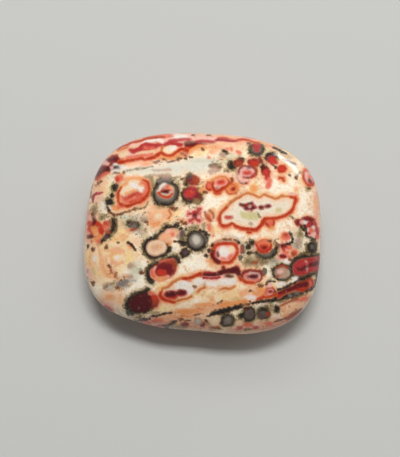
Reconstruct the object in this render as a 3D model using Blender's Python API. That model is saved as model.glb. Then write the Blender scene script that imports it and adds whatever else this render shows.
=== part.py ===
# A hand-polished pillow of leopard skin jasper, modelled as the one solid stone that it is.
#
# Seen from above, the outline is a rounded rectangle, a superellipse that hand grinding left
# turned a little and gently three-lobed. A crown and a belly, both shallow domes, meet at the
# girdle, and the small flat ground under the belly is what the stone rests on.
# The stone stands at the world origin: X is its length, Y its depth and +Z is up.

import math

import bmesh
import bpy
from mathutils import Vector

# Driving dimensions, in metres
HALF_LENGTH = 0.02355  # middle of the girdle to its left and right sides
HALF_DEPTH = 0.02010  # middle of the girdle to its near and far sides
CROWN = 0.0084  # girdle up to the top of the stone
BELLY = 0.0074  # girdle down to the resting flat
FLAT_SHARE = 0.30  # the resting flat's reach, as a share of the girdle's

# Form of the outline
GIRDLE_SQUARENESS = 3.1  # superellipse exponent, where 2 is an ellipse
POLE_SQUARENESS = 2.2
GIRDLE_TURN = math.radians(-3.5)
LOBE_COUNT = 3
LOBE_HEIGHT = 0.00018
LOBE_TURN = math.radians(79)

# Form of the two domes: height share = (1 - reach share ** DOME_FULLNESS) ** DOME_ROUNDNESS
DOME_FULLNESS = 2.45
DOME_ROUNDNESS = 0.5

# Mesh density
SEGMENTS = 84  # around the stone
CROWN_RINGS = 18  # top of the stone to the girdle
BELLY_RINGS = 15  # girdle to the resting flat

# Where the grinding wheel pressed more or less: place on the smooth form, reach and height
HAND_MARKS = (
    {"at": (-0.0142, -0.0172, 0.0070), "reach": 0.0040, "height": -0.00040},  # worn near left corner
    {"at": (0.0090, -0.0200, 0.0060), "reach": 0.0065, "height": 0.00030},  # full near side
    {"at": (0.0165, 0.0130, 0.0110), "reach": 0.0070, "height": -0.00035},  # flatter far right shoulder
    {"at": (-0.0110, 0.0120, 0.0125), "reach": 0.0080, "height": -0.00030},  # flatter far left shoulder
    {"at": (-0.0060, -0.0060, 0.0155), "reach": 0.0090, "height": 0.00015},  # crown a little high here
)


def outline_radius(angle, squareness):
    """Distance from the stone's axis to the superellipse of this squareness, along this angle."""
    turned = angle - GIRDLE_TURN
    across = abs(math.cos(turned) / HALF_LENGTH) ** squareness
    along = abs(math.sin(turned) / HALF_DEPTH) ** squareness
    smooth = (across + along) ** (-1 / squareness)
    return smooth + LOBE_HEIGHT * math.cos(LOBE_COUNT * (angle - LOBE_TURN))


def pressed(point):
    """The point moved in or out by the hand marks, square to the smooth form."""
    middle = Vector((0, 0, BELLY))
    outward = Vector(
        (
            (point.x - middle.x) / HALF_LENGTH**2,
            (point.y - middle.y) / HALF_DEPTH**2,
            (point.z - middle.z) / CROWN**2,
        )
    ).normalized()
    offset = sum(
        mark["height"] * math.exp(-((point - Vector(mark["at"])).length / mark["reach"]) ** 2)
        for mark in HAND_MARKS
    )
    return point + outward * offset


def ring(reach_share, height):
    """One level loop of points: the outline shrunk to reach_share of the girdle, at this height."""
    squareness = POLE_SQUARENESS + (GIRDLE_SQUARENESS - POLE_SQUARENESS) * reach_share**2
    points = []
    for step in range(SEGMENTS):
        angle = 2 * math.pi * step / SEGMENTS
        radius = reach_share * outline_radius(angle, squareness)
        points.append(Vector((radius * math.cos(angle), radius * math.sin(angle), height)))
    return points


def dome_height(reach_share):
    """Height share of a dome above the girdle, 1 on the axis and 0 at the girdle."""
    return (1 - reach_share**DOME_FULLNESS) ** DOME_ROUNDNESS


def reach_shares(count, inner_share):
    """Shares from inner_share out to the girdle, closer together where the dome is steep."""
    inner_angle = math.asin(inner_share ** (DOME_FULLNESS / 2))
    for step in range(count + 1):
        angle = inner_angle + (math.pi / 2 - inner_angle) * step / count
        yield min(1.0, math.sin(angle) ** (2 / DOME_FULLNESS))


def crown_rings():
    """Loops from just off the top of the stone down to the girdle."""
    shares = list(reach_shares(CROWN_RINGS, 0.0))[1:]
    return [[pressed(point) for point in ring(share, BELLY + CROWN * dome_height(share))] for share in shares]


def belly_rings():
    """Loops from just under the girdle down to the edge of the resting flat."""
    full_belly = BELLY / dome_height(FLAT_SHARE)
    shares = list(reach_shares(BELLY_RINGS, FLAT_SHARE))[:-1]
    shares.reverse()
    rings = []
    for share in shares[:-1]:
        height = BELLY - full_belly * dome_height(share)
        rings.append([pressed(point) for point in ring(share, height)])
    rings.append(ring(shares[-1], 0.0))
    return rings


def stone_mesh():
    """The closed skin: crown, girdle, belly and resting flat, centred over the origin."""
    mesh = bmesh.new()
    top = mesh.verts.new(pressed(Vector((0, 0, BELLY + CROWN))))
    loops = [[mesh.verts.new(point) for point in loop] for loop in crown_rings() + belly_rings()]
    for step in range(SEGMENTS):
        following = (step + 1) % SEGMENTS
        mesh.faces.new((top, loops[0][step], loops[0][following]))
        for upper, lower in zip(loops, loops[1:]):
            mesh.faces.new((upper[step], lower[step], lower[following], upper[following]))
    mesh.faces.new(reversed(loops[-1]))
    centre_over_origin(mesh)
    return mesh


def centre_over_origin(mesh):
    """Moves the mesh so that its box is centred on the Z axis."""
    for axis in (0, 1):
        places = [vertex.co[axis] for vertex in mesh.verts]
        middle = (min(places) + max(places)) / 2
        for vertex in mesh.verts:
            vertex.co[axis] -= middle


def jasper_material():
    """Polished cream jasper, the colour of the stone's ground."""
    material = bpy.data.materials.new("polished_jasper")
    material.use_nodes = True
    surface = material.node_tree.nodes["Principled BSDF"]
    surface.inputs["Base Color"].default_value = (0.78, 0.58, 0.40, 1)
    surface.inputs["Roughness"].default_value = 0.14
    surface.inputs["Metallic"].default_value = 0.0
    return material


def build_stone():
    """The stone as one object."""
    mesh = stone_mesh()
    data = bpy.data.meshes.new("stone")
    mesh.to_mesh(data)
    mesh.free()
    data.shade_smooth()
    data.materials.append(jasper_material())
    stone = bpy.data.objects.new("stone", data)
    bpy.context.scene.collection.objects.link(stone)
    return stone


def main():
    for old in list(bpy.data.objects):
        bpy.data.objects.remove(old, do_unlink=True)
    build_stone()


main()
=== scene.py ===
import math

import bpy
import numpy as np
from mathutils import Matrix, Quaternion, Vector


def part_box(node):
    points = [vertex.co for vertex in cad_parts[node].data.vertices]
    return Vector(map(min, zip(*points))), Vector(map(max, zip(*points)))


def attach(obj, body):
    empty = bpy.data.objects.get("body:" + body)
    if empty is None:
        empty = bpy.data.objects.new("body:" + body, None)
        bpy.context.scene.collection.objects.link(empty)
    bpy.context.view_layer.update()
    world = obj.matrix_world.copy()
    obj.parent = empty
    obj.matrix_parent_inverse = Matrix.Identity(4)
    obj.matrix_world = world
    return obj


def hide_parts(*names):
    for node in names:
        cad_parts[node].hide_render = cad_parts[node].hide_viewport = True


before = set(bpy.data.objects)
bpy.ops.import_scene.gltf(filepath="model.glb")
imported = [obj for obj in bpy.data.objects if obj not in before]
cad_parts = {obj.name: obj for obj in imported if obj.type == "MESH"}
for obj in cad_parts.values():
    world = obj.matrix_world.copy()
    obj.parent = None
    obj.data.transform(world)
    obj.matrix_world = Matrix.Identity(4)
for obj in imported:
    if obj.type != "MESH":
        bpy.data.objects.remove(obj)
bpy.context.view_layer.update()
print("Packed stone loaded")

mm = 1000  # the forms are in millimetres, and Blender's lengths in metres
tiny = 1e-9  # keeps a division from zero


# The view: looking down at 78 degrees, where 5 pixels of the photograph are 1 mm of the stone

photoView = {
    "size": (400, 457),  # the photograph, in pixels
    "stoneAt": (202.5, 232.0),  # pixel where the middle of the girdle shows
    "pixelsPerMm": 5.0,
    "elevation": math.radians(78),  # how far the camera looks down
    "lens": 85.0,
    "sensor": 36.0,  # spans the photograph's long side
}

toRight = np.array((1.0, 0.0, 0.0))
toCamera = np.array((0.0, -math.cos(photoView["elevation"]), math.sin(photoView["elevation"])))
toTop = np.cross(toCamera, toRight)
pictureHeight = photoView["size"][1] / photoView["pixelsPerMm"]
cameraDistance = photoView["lens"] / photoView["sensor"] * pictureHeight
offCentre = (np.array(photoView["size"]) / 2 - photoView["stoneAt"]) / photoView["pixelsPerMm"]


# The form: crown and belly domes that meet at the girdle, with the same measures as the solid

stoneForm = {
    "halfLength": 23.55,  # millimetres, as are all lengths down to the mesh
    "halfDepth": 20.10,
    "crown": 8.4,
    "belly": 7.4,
    "flatShare": 0.30,  # radius of the flat, as a share of the girdle's
    "girdleSquareness": 3.1,  # 2 is an ellipse, and more is squarer
    "poleSquareness": 2.2,
    "girdleTurn": math.radians(-3.5),
    "lobeCount": 3,
    "lobeHeight": 0.18,
    "lobeTurn": math.radians(79),
    "domeFullness": 2.45,
    "domeRoundness": 0.5,
    "handMarks": (  # place, reach and height
        ((-14.2, -17.2, 7.0), 4.0, -0.40),
        ((9.0, -20.0, 6.0), 6.5, 0.30),
        ((16.5, 13.0, 11.0), 7.0, -0.35),
        ((-11.0, 12.0, 12.5), 8.0, -0.30),
        ((-6.0, -6.0, 15.5), 9.0, 0.15),
    ),
    "rimMarks": (  # a notch and an orb that stands proud
        ((-13.6, -17.6, 8.0), 0.7, -0.22),
        ((2.6, -19.3, 9.2), 1.3, 0.24),
    ),
    "ripple": 0.018,  # height of the hand polish's faint unevenness
    "rippleWaves": ((7.0, 3, 1.0), (3.2, 4, 0.5)),  # wave length, seed and share
    "rippleRise": 1.5,  # the ripple is full this far above the floor
    "around": 520,  # mesh points around each loop
    "crownLoops": 140,
    "bellyLoops": 40,
    "flatLoops": 6,
    "profileSteps": 4000,  # where the profile's length is measured
}
cameraAside = toRight * offCentre[0] - toTop * offCentre[1]
cameraPlace = (0, 0, stoneForm["belly"]) + cameraAside + toCamera * cameraDistance


def outlineRadius(angle, squareness):
    # superellipse in polar form, plus a three-lobed cosine
    f = stoneForm
    turned = angle - f["girdleTurn"]
    across = np.abs(np.cos(turned) / f["halfLength"]) ** squareness
    along = np.abs(np.sin(turned) / f["halfDepth"]) ** squareness
    lobes = f["lobeHeight"] * np.cos(f["lobeCount"] * (angle - f["lobeTurn"]))
    return (across + along) ** (-1 / squareness) + lobes


def domeHeight(share):
    # (1 - share ^ fullness) ^ roundness: 1 on the axis, 0 at the girdle
    return np.clip(1 - share ** stoneForm["domeFullness"], 0, 1) ** stoneForm["domeRoundness"]


def evenShares(innerShare, height, count):
    # shares from innerShare out to the girdle, an equal length of the dome's profile apart
    f = stoneForm
    start = math.asin(innerShare ** (f["domeFullness"] / 2))
    turn = np.linspace(start, math.pi / 2, f["profileSteps"])
    share = np.minimum(np.sin(turn) ** (2 / f["domeFullness"]), 1)
    reach = share * (f["halfLength"] + f["halfDepth"]) / 2
    steps = np.hypot(np.diff(reach), np.diff(height * domeHeight(share)))
    length = np.concatenate(([0], np.cumsum(steps)))
    return np.interp(np.linspace(0, length[-1], count + 1), length, share)


def pressed(points):
    # points moved along the outward direction by a sum of bell-shaped hand marks
    f = stoneForm
    outward = (points - (0, 0, f["belly"])) / (f["halfLength"] ** 2, f["halfDepth"] ** 2, f["crown"] ** 2)
    outward /= np.maximum(np.linalg.norm(outward, axis=-1, keepdims=True), tiny)
    offset = sum(
        height * np.exp(-(np.linalg.norm(points - place, axis=-1) / reach) ** 2)
        for place, reach, height in f["handMarks"] + f["rimMarks"]
    )
    return points + outward * offset[..., None]


waveRules = {
    "count": 7,
    "spread": (0.6, 1.6),  # shortest and longest wave beside the length asked for
    "shift": (0, 6.3),  # about a full turn
    "gain": 1.6,
}


def waves(points, length, seed):
    # gain * mean of plane sine waves in random directions, one value a point, mostly -1 to 1
    chance = np.random.default_rng(seed)
    count = waveRules["count"]
    directions = chance.normal(size=(count, 3))
    directions /= np.linalg.norm(directions, axis=1, keepdims=True)
    pace = 2 * math.pi / (length * chance.uniform(*waveRules["spread"], count))
    turns = points @ (directions * pace[:, None]).T + chance.uniform(*waveRules["shift"], count)
    return np.sin(turns).mean(-1) * waveRules["gain"]


def loopsOf(shares, heights, press):
    # level loops: the outline shrunk to each share, at each height
    f = stoneForm
    angle = np.linspace(0, 2 * math.pi, f["around"], endpoint=False)
    share = shares[:, None]
    squareness = f["poleSquareness"] + (f["girdleSquareness"] - f["poleSquareness"]) * share**2
    radius = share * outlineRadius(angle[None], squareness)
    level = np.broadcast_to(heights[:, None], radius.shape)
    loops = np.stack((radius * np.cos(angle), radius * np.sin(angle), level), axis=-1)
    return pressed(loops) if press else loops


def stonePoints():
    # crown loops from the top down to the girdle, belly loops down to the flat, then the flat itself
    f = stoneForm
    crownShare = evenShares(0, f["crown"], f["crownLoops"])[1:]
    crown = loopsOf(crownShare, f["belly"] + f["crown"] * domeHeight(crownShare), True)
    fullBelly = f["belly"] / domeHeight(np.array(f["flatShare"]))
    bellyShare = evenShares(f["flatShare"], fullBelly, f["bellyLoops"])[-2:0:-1]
    belly = loopsOf(bellyShare, f["belly"] - fullBelly * domeHeight(bellyShare), True)
    flatShare = np.linspace(f["flatShare"], 0, f["flatLoops"] + 1)[:-1]
    flat = loopsOf(flatShare, np.zeros(len(flatShare)), False)
    top = pressed(np.array([[0, 0, f["belly"] + f["crown"]]]))
    loops = np.concatenate((crown, belly, flat))
    points = np.concatenate((top, loops.reshape(-1, 3), [[0, 0, 0]]))
    ripple = sum(share * waves(points, length, seed) for length, seed, share in f["rippleWaves"])
    lift = np.clip(points[:, 2] / f["rippleRise"], 0, 1) * f["ripple"] * ripple
    points[:, 2] += lift * np.sign(points[:, 2] - f["belly"])
    return points, len(loops)


def stoneFaces(loopCount):
    # quads between neighbouring loops, and a fan of triangles at each pole
    n = stoneForm["around"]
    column = np.arange(n)
    following = (column + 1) % n
    upper = 1 + np.arange(loopCount - 1)[:, None] * n
    quads = np.stack((upper + column, upper + n + column, upper + n + following, upper + following), -1)
    lastLoop = 1 + (loopCount - 1) * n
    topFan = np.stack((np.zeros(n, int), 1 + column, 1 + following), -1)
    flatFan = np.stack((np.full(n, lastLoop + n), lastLoop + following, lastLoop + column), -1)
    return topFan, quads.reshape(-1, 4), flatFan


def meshFrom(name, points, faceSets):
    # one mesh from point and face arrays, smooth shaded
    mesh = bpy.data.meshes.new(name)
    corners = np.concatenate([faces.ravel() for faces in faceSets])
    sizes = np.concatenate([np.full(len(faces), faces.shape[1]) for faces in faceSets])
    mesh.vertices.add(len(points))
    mesh.vertices.foreach_set("co", points.ravel())
    mesh.loops.add(len(corners))
    mesh.loops.foreach_set("vertex_index", corners.astype(np.int32))
    mesh.polygons.add(len(sizes))
    mesh.polygons.foreach_set("loop_start", np.concatenate(([0], np.cumsum(sizes)[:-1])).astype(np.int32))
    mesh.polygons.foreach_set("use_smooth", np.ones(len(sizes), bool))
    mesh.update(calc_edges=True)
    mesh.validate()
    return mesh


def makeStone():
    # the stone's fine mesh, set to the middle of the solid that it stands for
    points, loopCount = stonePoints()
    low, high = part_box("stone")
    for axis in (0, 1):
        wanted = mm * (low[axis] + high[axis]) / 2
        points[:, axis] += wanted - (points[:, axis].min() + points[:, axis].max()) / 2
    mesh = meshFrom("polishedStone", points / mm, stoneFaces(loopCount))
    stone = bpy.data.objects.new("polishedStone", mesh)
    bpy.context.scene.collection.objects.link(stone)
    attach(stone, "root")
    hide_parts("stone")
    return stone, points


stone, stonePlaces = makeStone()
print("Stone mesh:", len(stone.data.polygons), "faces")


# The paints, from the lowest layer up. The edge is the kind of unevenness and how much of it. A stop
# is the distance in mm from the edge of a marking (inside is negative), the colour there as red,
# green and blue of 255, and how much it covers what is below. "of" borrows another paint's field,
# and "lowest" keeps the field from falling further inside a marking

def paint(kind, amount, *stops):
    # a paint by its edge and its stops
    return {"edge": (kind, amount), "stops": stops}


def zonePaint(colour, cover=0.85):
    # broad tint that thins out over 2.6 mm
    return paint("misty", 1.5, (-1.7, colour, cover), (-0.2, colour, 0.6 * cover), (0.9, colour, 0))


def mossPaint(colour):
    # fine specks, as many in the middle of a marking as near its edge
    specks = paint("pepper", 1.0, (-0.75, colour, 0.92), (-0.45, colour, 0.75), (-0.15, colour, 0))
    return {"lowest": 0.0, **specks}


def glowPaint(colour, cover=1.0):
    # one colour with soft edges
    inner, middle, outer = (-0.45, colour, cover), (-0.12, colour, 0.85 * cover), (0.1, colour, 0.42 * cover)
    return paint("crisp", 1.1, inner, middle, outer, (0.3, colour, 0))


def haloPaint(borrowed, near, middle, far):
    # three tints around the markings of another paint
    return {"of": borrowed, **paint("misty", 0.9, (0.1, near, 0.95), (0.45, middle, 0.7), (1.0, far, 0))}


paints = {
    # cream tint; two ovals on the bottom-left shoulder are painted light
    "zoneCream": zonePaint((255, 244, 222), 0.95),
    "zoneGold": zonePaint((246, 204, 136)),
    "zonePeach": zonePaint((246, 190, 146)),
    # salmon tint; along the bottom rim it is partly painted shade
    "zoneSalmon": zonePaint((226, 118, 84), 0.95),
    "hazeYellow": paint(
        "misty", 1, (-1.2, (250, 214, 130), 0.85), (0, (250, 220, 150), 0.45), (0.7, (250, 226, 164), 0),
    ),
    "hazePeach": paint(
        "misty", 0.9, (-1, (246, 182, 132), 0.92), (0, (247, 194, 150), 0.5), (0.6, (248, 206, 168), 0),
    ),
    "hazeBlush": paint(
        "misty", 0.9, (-1, (246, 174, 160), 0.88), (0, (247, 190, 176), 0.5), (0.5, (248, 206, 194), 0),
    ),
    "hazeSage": paint(
        "misty", 1, (-1, (198, 198, 170), 0.85), (0, (214, 210, 182), 0.45), (0.6, (226, 220, 194), 0),
    ),
    "hazeGrey": paint(
        "misty", 1.3, (-0.9, (128, 122, 112), 0.9), (-0.1, (160, 150, 134), 0.65),
        (0.6, (206, 194, 172), 0),
    ),
    # pale grey-green stone; in the far pale band it also carries a painted highlight
    "chalkAndHighlight": paint(
        "crisp", 1.5, (-0.8, (212, 208, 188), 0.95), (-0.1, (222, 214, 192), 0.8),
        (0.3, (238, 222, 198), 0),
    ),
    "hazeOrange": paint(
        "misty", 0.9, (-0.9, (234, 136, 76), 0.95), (-0.1, (238, 156, 98), 0.65), (0.4, (244, 188, 140), 0),
    ),
    "brickHalo": haloPaint("brick", (240, 152, 100), (246, 184, 132), (250, 210, 160)),
    "redHalo": haloPaint("lineRed", (234, 128, 88), (244, 172, 128), (250, 206, 164)),
    "ochreHalo": haloPaint("lineOchre", (240, 172, 112), (248, 198, 144), (250, 214, 164)),
    "crimsonHalo": haloPaint("crimson", (234, 126, 110), (244, 172, 152), (250, 208, 186)),
    "maroonHalo": haloPaint("maroon", (224, 128, 94), (244, 178, 136), (250, 212, 168)),
    "inkHalo": {"of": "ink", **paint(
        "misty", 1.3, (0.1, (112, 92, 58), 0.95), (0.4, (160, 138, 94), 0.6), (0.9, (210, 190, 146), 0),
    )},
    "hazeOlive": paint(
        "misty", 1.2, (-0.8, (112, 96, 60), 0.92), (-0.1, (152, 132, 90), 0.65), (0.4, (198, 176, 130), 0),
    ),
    "mossOlive": mossPaint((118, 100, 62)),
    # rust specks; over the bottom-left rim they are partly painted shade
    "mossRust": mossPaint((186, 98, 56)),
    "mossRose": mossPaint((196, 72, 72)),
    # dark specks; one oval on the near-right rim is painted shade
    "mossInk": mossPaint((46, 38, 30)),
    "ink": paint(
        "clumpy", 1.2, (-1, (56, 50, 46), 1), (-0.35, (38, 32, 28), 1), (0, (58, 46, 34), 0.9),
        (0.25, (112, 90, 58), 0),
    ),
    "slate": paint(
        "crisp", 1.6, (-1.2, (140, 126, 112), 1), (-0.4, (116, 106, 92), 1), (0, (84, 76, 64), 0.9),
        (0.25, (110, 98, 82), 0),
    ),
    "brick": paint(
        "crisp", 1.6, (-1.6, (214, 84, 54), 1), (-0.55, (202, 62, 32), 1), (-0.15, (172, 42, 22), 1),
        (0.08, (204, 90, 56), 0.7), (0.32, (232, 140, 96), 0),
    ),
    "maroon": paint(
        "clumpy", 0.7, (-1.2, (112, 26, 30), 1), (-0.4, (126, 32, 34), 1), (0, (130, 46, 36), 0.85),
        (0.26, (178, 100, 74), 0),
    ),
    "crimson": paint(
        "clumpy", 0.7, (-1, (200, 70, 70), 1), (-0.35, (182, 48, 50), 1), (0, (172, 46, 46), 0.85),
        (0.28, (220, 120, 110), 0),
    ),
    "shellPale": paint(
        "misty", 0.6, (-1.5, (238, 224, 200), 0.95), (-0.8, (240, 214, 186), 0.95),
        (-0.25, (244, 190, 152), 0.85), (0.3, (246, 190, 152), 0),
    ),
    "shellCream": paint(
        "crisp", 1.2, (-0.8, (246, 216, 178), 1), (-0.1, (240, 198, 156), 0.9), (0.22, (228, 166, 120), 0),
    ),
    "shellPeach": paint(
        "crisp", 1.2, (-1.4, (226, 172, 132), 1), (-0.8, (236, 194, 158), 1), (-0.3, (240, 204, 170), 1),
        (0, (196, 150, 120), 0.85), (0.22, (120, 88, 66), 0),
    ),
    "shellPink": paint(
        "crisp", 1.2, (-0.8, (246, 192, 178), 1), (-0.1, (238, 162, 146), 0.9), (0.22, (222, 120, 98), 0),
    ),
    "glowCream": glowPaint((248, 218, 178)),
    "glowBeige": glowPaint((186, 150, 126)),
    "glowPeach": glowPaint((242, 176, 134)),
    "glowPink": glowPaint((244, 184, 170)),
    # pale white spots; on the far rim and shoulders it is also used for painted highlights
    "glowWhite": glowPaint((242, 230, 218)),
    "glowMoss": glowPaint((204, 190, 126), 0.85),
    "glowOlive": glowPaint((146, 120, 78), 0.9),
    # grey spots; at the near right it also makes painted glints
    "glowGrey": glowPaint((136, 122, 112), 0.95),
    "glowMauve": glowPaint((94, 68, 70), 0.9),
    "glowOrange": glowPaint((236, 150, 84), 0.9),
    "glowCoral": glowPaint((228, 110, 84)),
    "glowCrimson": glowPaint((186, 54, 58)),
    # rust-brown; one trail on the near-right rim is painted shade
    "glowRust": glowPaint((166, 66, 38)),
    "glowRed": glowPaint((200, 54, 36)),
    "glowMaroon": glowPaint((84, 20, 24)),
    "glowPearl": glowPaint((204, 194, 176)),
    "lineOchre": paint(
        "crisp", 1.2, (-0.25, (190, 96, 42), 1), (0, (208, 126, 68), 0.8), (0.22, (232, 172, 118), 0),
    ),
    "lineRed": paint(
        "crisp", 1.3, (-0.3, (176, 46, 20), 1), (-0.05, (200, 74, 34), 0.92), (0.24, (232, 138, 88), 0),
    ),
    "lineCrimson": paint(
        "crisp", 1.2, (-0.25, (160, 36, 42), 1), (-0.05, (182, 62, 62), 0.9), (0.2, (226, 140, 132), 0),
    ),
    "lineOlive": paint(
        "clumpy", 0.9, (-0.25, (104, 86, 52), 0.95), (0, (136, 114, 74), 0.7), (0.25, (186, 164, 120), 0),
    ),
    "lineInk": paint(
        "clumpy", 1, (-0.25, (40, 32, 26), 1), (0, (66, 50, 36), 0.85), (0.24, (124, 98, 66), 0),
    ),
    "dotBrown": paint(
        "clumpy", 0.8, (-0.25, (108, 62, 38), 1), (0, (132, 84, 54), 0.8), (0.22, (184, 140, 98), 0),
    ),
    "dotInk": paint(
        "clumpy", 0.7, (-0.25, (34, 26, 22), 1), (0, (56, 42, 32), 0.85), (0.22, (124, 100, 72), 0),
    ),
}


# The markings on the photographed face, with some painted highlights and painted shade among them, place by
# place, in tenths of a millimetre from the middle of the girdle as the camera sees it, x to the right and y
# up the picture

perMm = 10  # the numbers below to the millimetre


def oval(x, y, wide, high=None, turn=0):
    # filled ellipse: middle, half width, half height, and its turn in degrees
    return "oval", (x / perMm, y / perMm), (wide / perMm, (high or wide) / perMm), turn


def trail(width, *places):
    # line through the places x, y, x, y ..., of one width or of one for each place
    return "trail", np.reshape(places, (-1, 2)) / perMm, np.array(width) / perMm


def patch(*places):
    # closed area with its outline through the places x, y, x, y ...
    return "patch", np.reshape(places, (-1, 2)) / perMm, None


faceMarkings = {}

faceMarkings["zones"] = {
    "zoneSalmon": [
        patch(-180, 156, -156, 180, -110, 196, -60, 200, -10, 196, 20, 188, 20, 176, -20, 166, -60, 149,
            -110, 140, -160, 138),
        # along the bottom rim these salmon zones are partly the stone's colour and partly painted shade,
        # darker where the near rim turns down from the lamps
        patch(-135, -176, -100, -172, -65, -166, -50, -176, -70, -192, -110, -194),
        patch(110, -180, 140, -176, 180, -170, 170, -188, 120, -200), oval(120, -120, 18, 12, 20),
        oval(204, -134, 16, 7, 20), oval(-206, 126, 16, 12, 45), oval(-165, 176, 18, 5, 40),
        oval(-120, 190, 30, 5, 12), oval(-10, -189, 40, 5), oval(90, -193, 36, 5, 5),
        oval(134, -182, 20, 7, 15), oval(-193, -150, 15, 6, -40), oval(229, 40, 3, 40),
        oval(50, 189, 50, 5, -4), oval(120, 178, 30, 4, -18),
    ],
    "zonePeach": [
        oval(40, 174, 36, 10, -3), oval(-86, 31, 30, 20), oval(-192, -132, 26, 16, 30),
        oval(-90, 156, 50, 10), patch(-85, -170, -40, -154, 0, -152, 10, -170, -30, -184),
        oval(190, -150, 24, 12, 35), oval(103, -126, 26, 10), oval(-206, 84, 14, 24, 15),
        oval(170, -40, 18, 12), oval(-216, -64, 16, 40),
    ],
    "zoneGold": [
        oval(-76, -152, 22, 9), oval(-194, -60, 32, 38), oval(-164, -14, 17, 24), oval(-154, 47, 26, 6, 8),
        oval(40, -130, 34, 9, 4), oval(-146, -46, 14, 20), oval(114, -108, 16, 10),
    ],
    "zoneCream": [
        oval(164, 92, 32, 17), oval(206, 60, 16, 30), oval(166, 10, 24, 18), oval(28, 68, 23, 17, 30),
        oval(80, -9, 55, 5, -3),
        patch(-64, -50, -40, -52, -15, -44, 5, -50, 8, -74, -16, -84, -44, -88, -54, -76, -44, -60),
        patch(-160, -135, -140, -115, -116, -108, -108, -96, -114, -64, -130, -54, -150, -76, -158, -90,
            -170, -120),
        # oval(-206, -124) and oval(-174, -150), on the bottom-left shoulder, are painted light: brighter
        # cream where the lamps reach it less
        oval(-5, -130, 22, 9, 25), oval(-206, -124, 14), oval(-174, -150, 20, 12, -35),
        oval(-65, -149, 24, 7, 5), oval(165, -104, 10, 6), oval(132, -70, 7, 18), oval(168, -60, 9, 5),
        oval(-194, 84, 17, 26, 15), oval(-80, -50, 14, 6, 25), oval(75, 68, 30, 5, 15),
    ],
    "hazeSage": [
        oval(-119, 4, 10, 14), oval(44, 146, 16, 12), oval(-156, 27, 20, 9), oval(-199, 56, 5, 12),
        oval(-134, -76, 14, 16), oval(194, -10, 10, 24), oval(133, -146, 13, 7),
    ],
    "mossOlive": [
        oval(-128, 22, 24, 10), oval(104, -59, 22, 9), oval(-15, 9, 20, 6), oval(-158, -103, 18, 10),
        oval(149, -60, 9), oval(-195, 34, 14, 9),
    ],
}

faceMarkings["farLeftLens"] = {
    "hazePeach": [oval(-132, 177, 18, 5, 12), oval(-125, 137, 30, 3.5, 3)],
    "hazeYellow": [oval(-160, 167, 12, 3.5, 15), oval(-168, 160, 8, 4)],
    "hazeSage": [oval(-157, 156, 5), oval(-128, 155, 9, 3.5, 8), oval(-112, 156, 6, 2.5)],
    "shellCream": [oval(-156, 155, 12, 6, 10), oval(-116, 156, 22, 5, 8), oval(-134, 174, 10, 3, 20)],
    "glowWhite": [
        trail((4, 6, 7, 5), -116, 181.5, -102, 183.5, -90, 185, -82, 182), oval(-60, 167, 6, 3, 20),
    ],
    "crimson": [
        oval(-141, 161, 5.5, 4.5),
        trail((5, 7, 10, 13, 13, 9, 5), -138, 163, -130, 165, -122, 169, -114, 171, -105, 171.5, -96, 171,
            -91, 173.5),
        trail((5, 3.5, 4, 3.5), -91, 174, -80, 173.5, -70, 174, -60, 174.5),
    ],
    "glowCoral": [
        oval(-113, 168, 3.5, 1.5), oval(-102, 167.5, 3.5, 1.2), trail(3, -166, 162, -154, 169, -149, 171),
        trail((4, 6, 7, 6), -166, 176, -140, 189, -110, 196, -80, 198),
        trail((4, 5, 4), -150, 149, -126, 152, -102, 155),
    ],
    "lineRed": [
        trail((3.5, 4.5, 5, 5.5, 5, 5, 5.5, 5.5, 4.5), -178, 163, -162, 171, -150, 175, -141, 179.5,
            -126, 182, -114, 186, -100, 189, -90, 190.5, -76, 190),
        trail((8, 6, 4, 4.5, 4.5, 5, 6, 5, 4, 4), -165, 140, -156, 140.5, -150, 143.5, -140, 145,
            -124, 146, -108, 147, -98, 149.5, -92, 154, -84, 158, -76, 154.5),
        trail((3.5, 4, 4.5, 5, 6, 6), -76, 154.5, -66, 153.5, -58, 156, -50, 161, -42, 165.5, -32, 164),
        oval(-90, 154, 5.5, 3.5, 20),
    ],
    "lineOchre": [trail(2.5, -83, 159, -81, 165, -79, 171), trail(2, -170, 163, -158, 168, -149, 169)],
    "glowCream": [oval(-67, 164, 12.5, 6, 10)],
    "glowPink": [trail(3, -120, 179, -132, 176, -142, 173), trail(4, -145, 155, -130, 151, -110, 151)],
}

faceMarkings["farLeftEdge"] = {
    "maroon": [
        patch(-192, 142, -183, 149, -170, 152, -165, 145, -163, 138, -171, 136, -180, 133, -186, 139),
        patch(-215, 110, -209, 122, -203, 130, -192, 134, -183, 131, -184, 123, -192, 120, -203, 112,
            -210, 107),
    ],
    "glowCrimson": [oval(-176, 145, 7, 4, 20)],
    "glowMaroon": [
        trail((3, 6, 4), -186, 142, -176, 146, -169, 140),
        trail((3, 6, 5, 3), -210, 114, -202, 123, -192, 127, -186, 126),
    ],
    "glowRust": [trail(5, -212, 107, -206, 116, -200, 124)],
    "glowCoral": [trail(3.5, -210, 105, -202, 112, -193, 118), oval(-161, 145, 3)],
    "glowPink": [trail((5, 4), -196, 139, -189, 137), oval(-181, 128, 3)],
    "glowWhite": [oval(-173, 134.5, 4, 2), oval(-163, 130, 5, 3)],
    "ink": [oval(-172, 128.5, 6.5, 3, 8)],
    "glowMauve": [oval(-170, 129, 4, 1.5)],
    "dotBrown": [
        trail(3, -220, 92, -223, 80, -224, 69), oval(-205, 100, 3, 1.2, 10), oval(-209, 97, 2.5, 1.5),
    ],
    "lineCrimson": [trail((3, 5, 4), -219, 61, -218, 72, -212, 76), trail(2, -212, 76, -200, 79)],
    "hazePeach": [oval(-200, 100, 12, 9), oval(-206, 86, 13, 6)],
    "hazeBlush": [oval(-208, 68, 10, 8)],
    "hazeSage": [oval(-198, 55, 4, 12), oval(-182, 112, 5, 4)],
    "hazeYellow": [oval(-188, 85, 6, 14)],
    "mossRust": [oval(-208, 94, 8, 4)],
}

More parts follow.
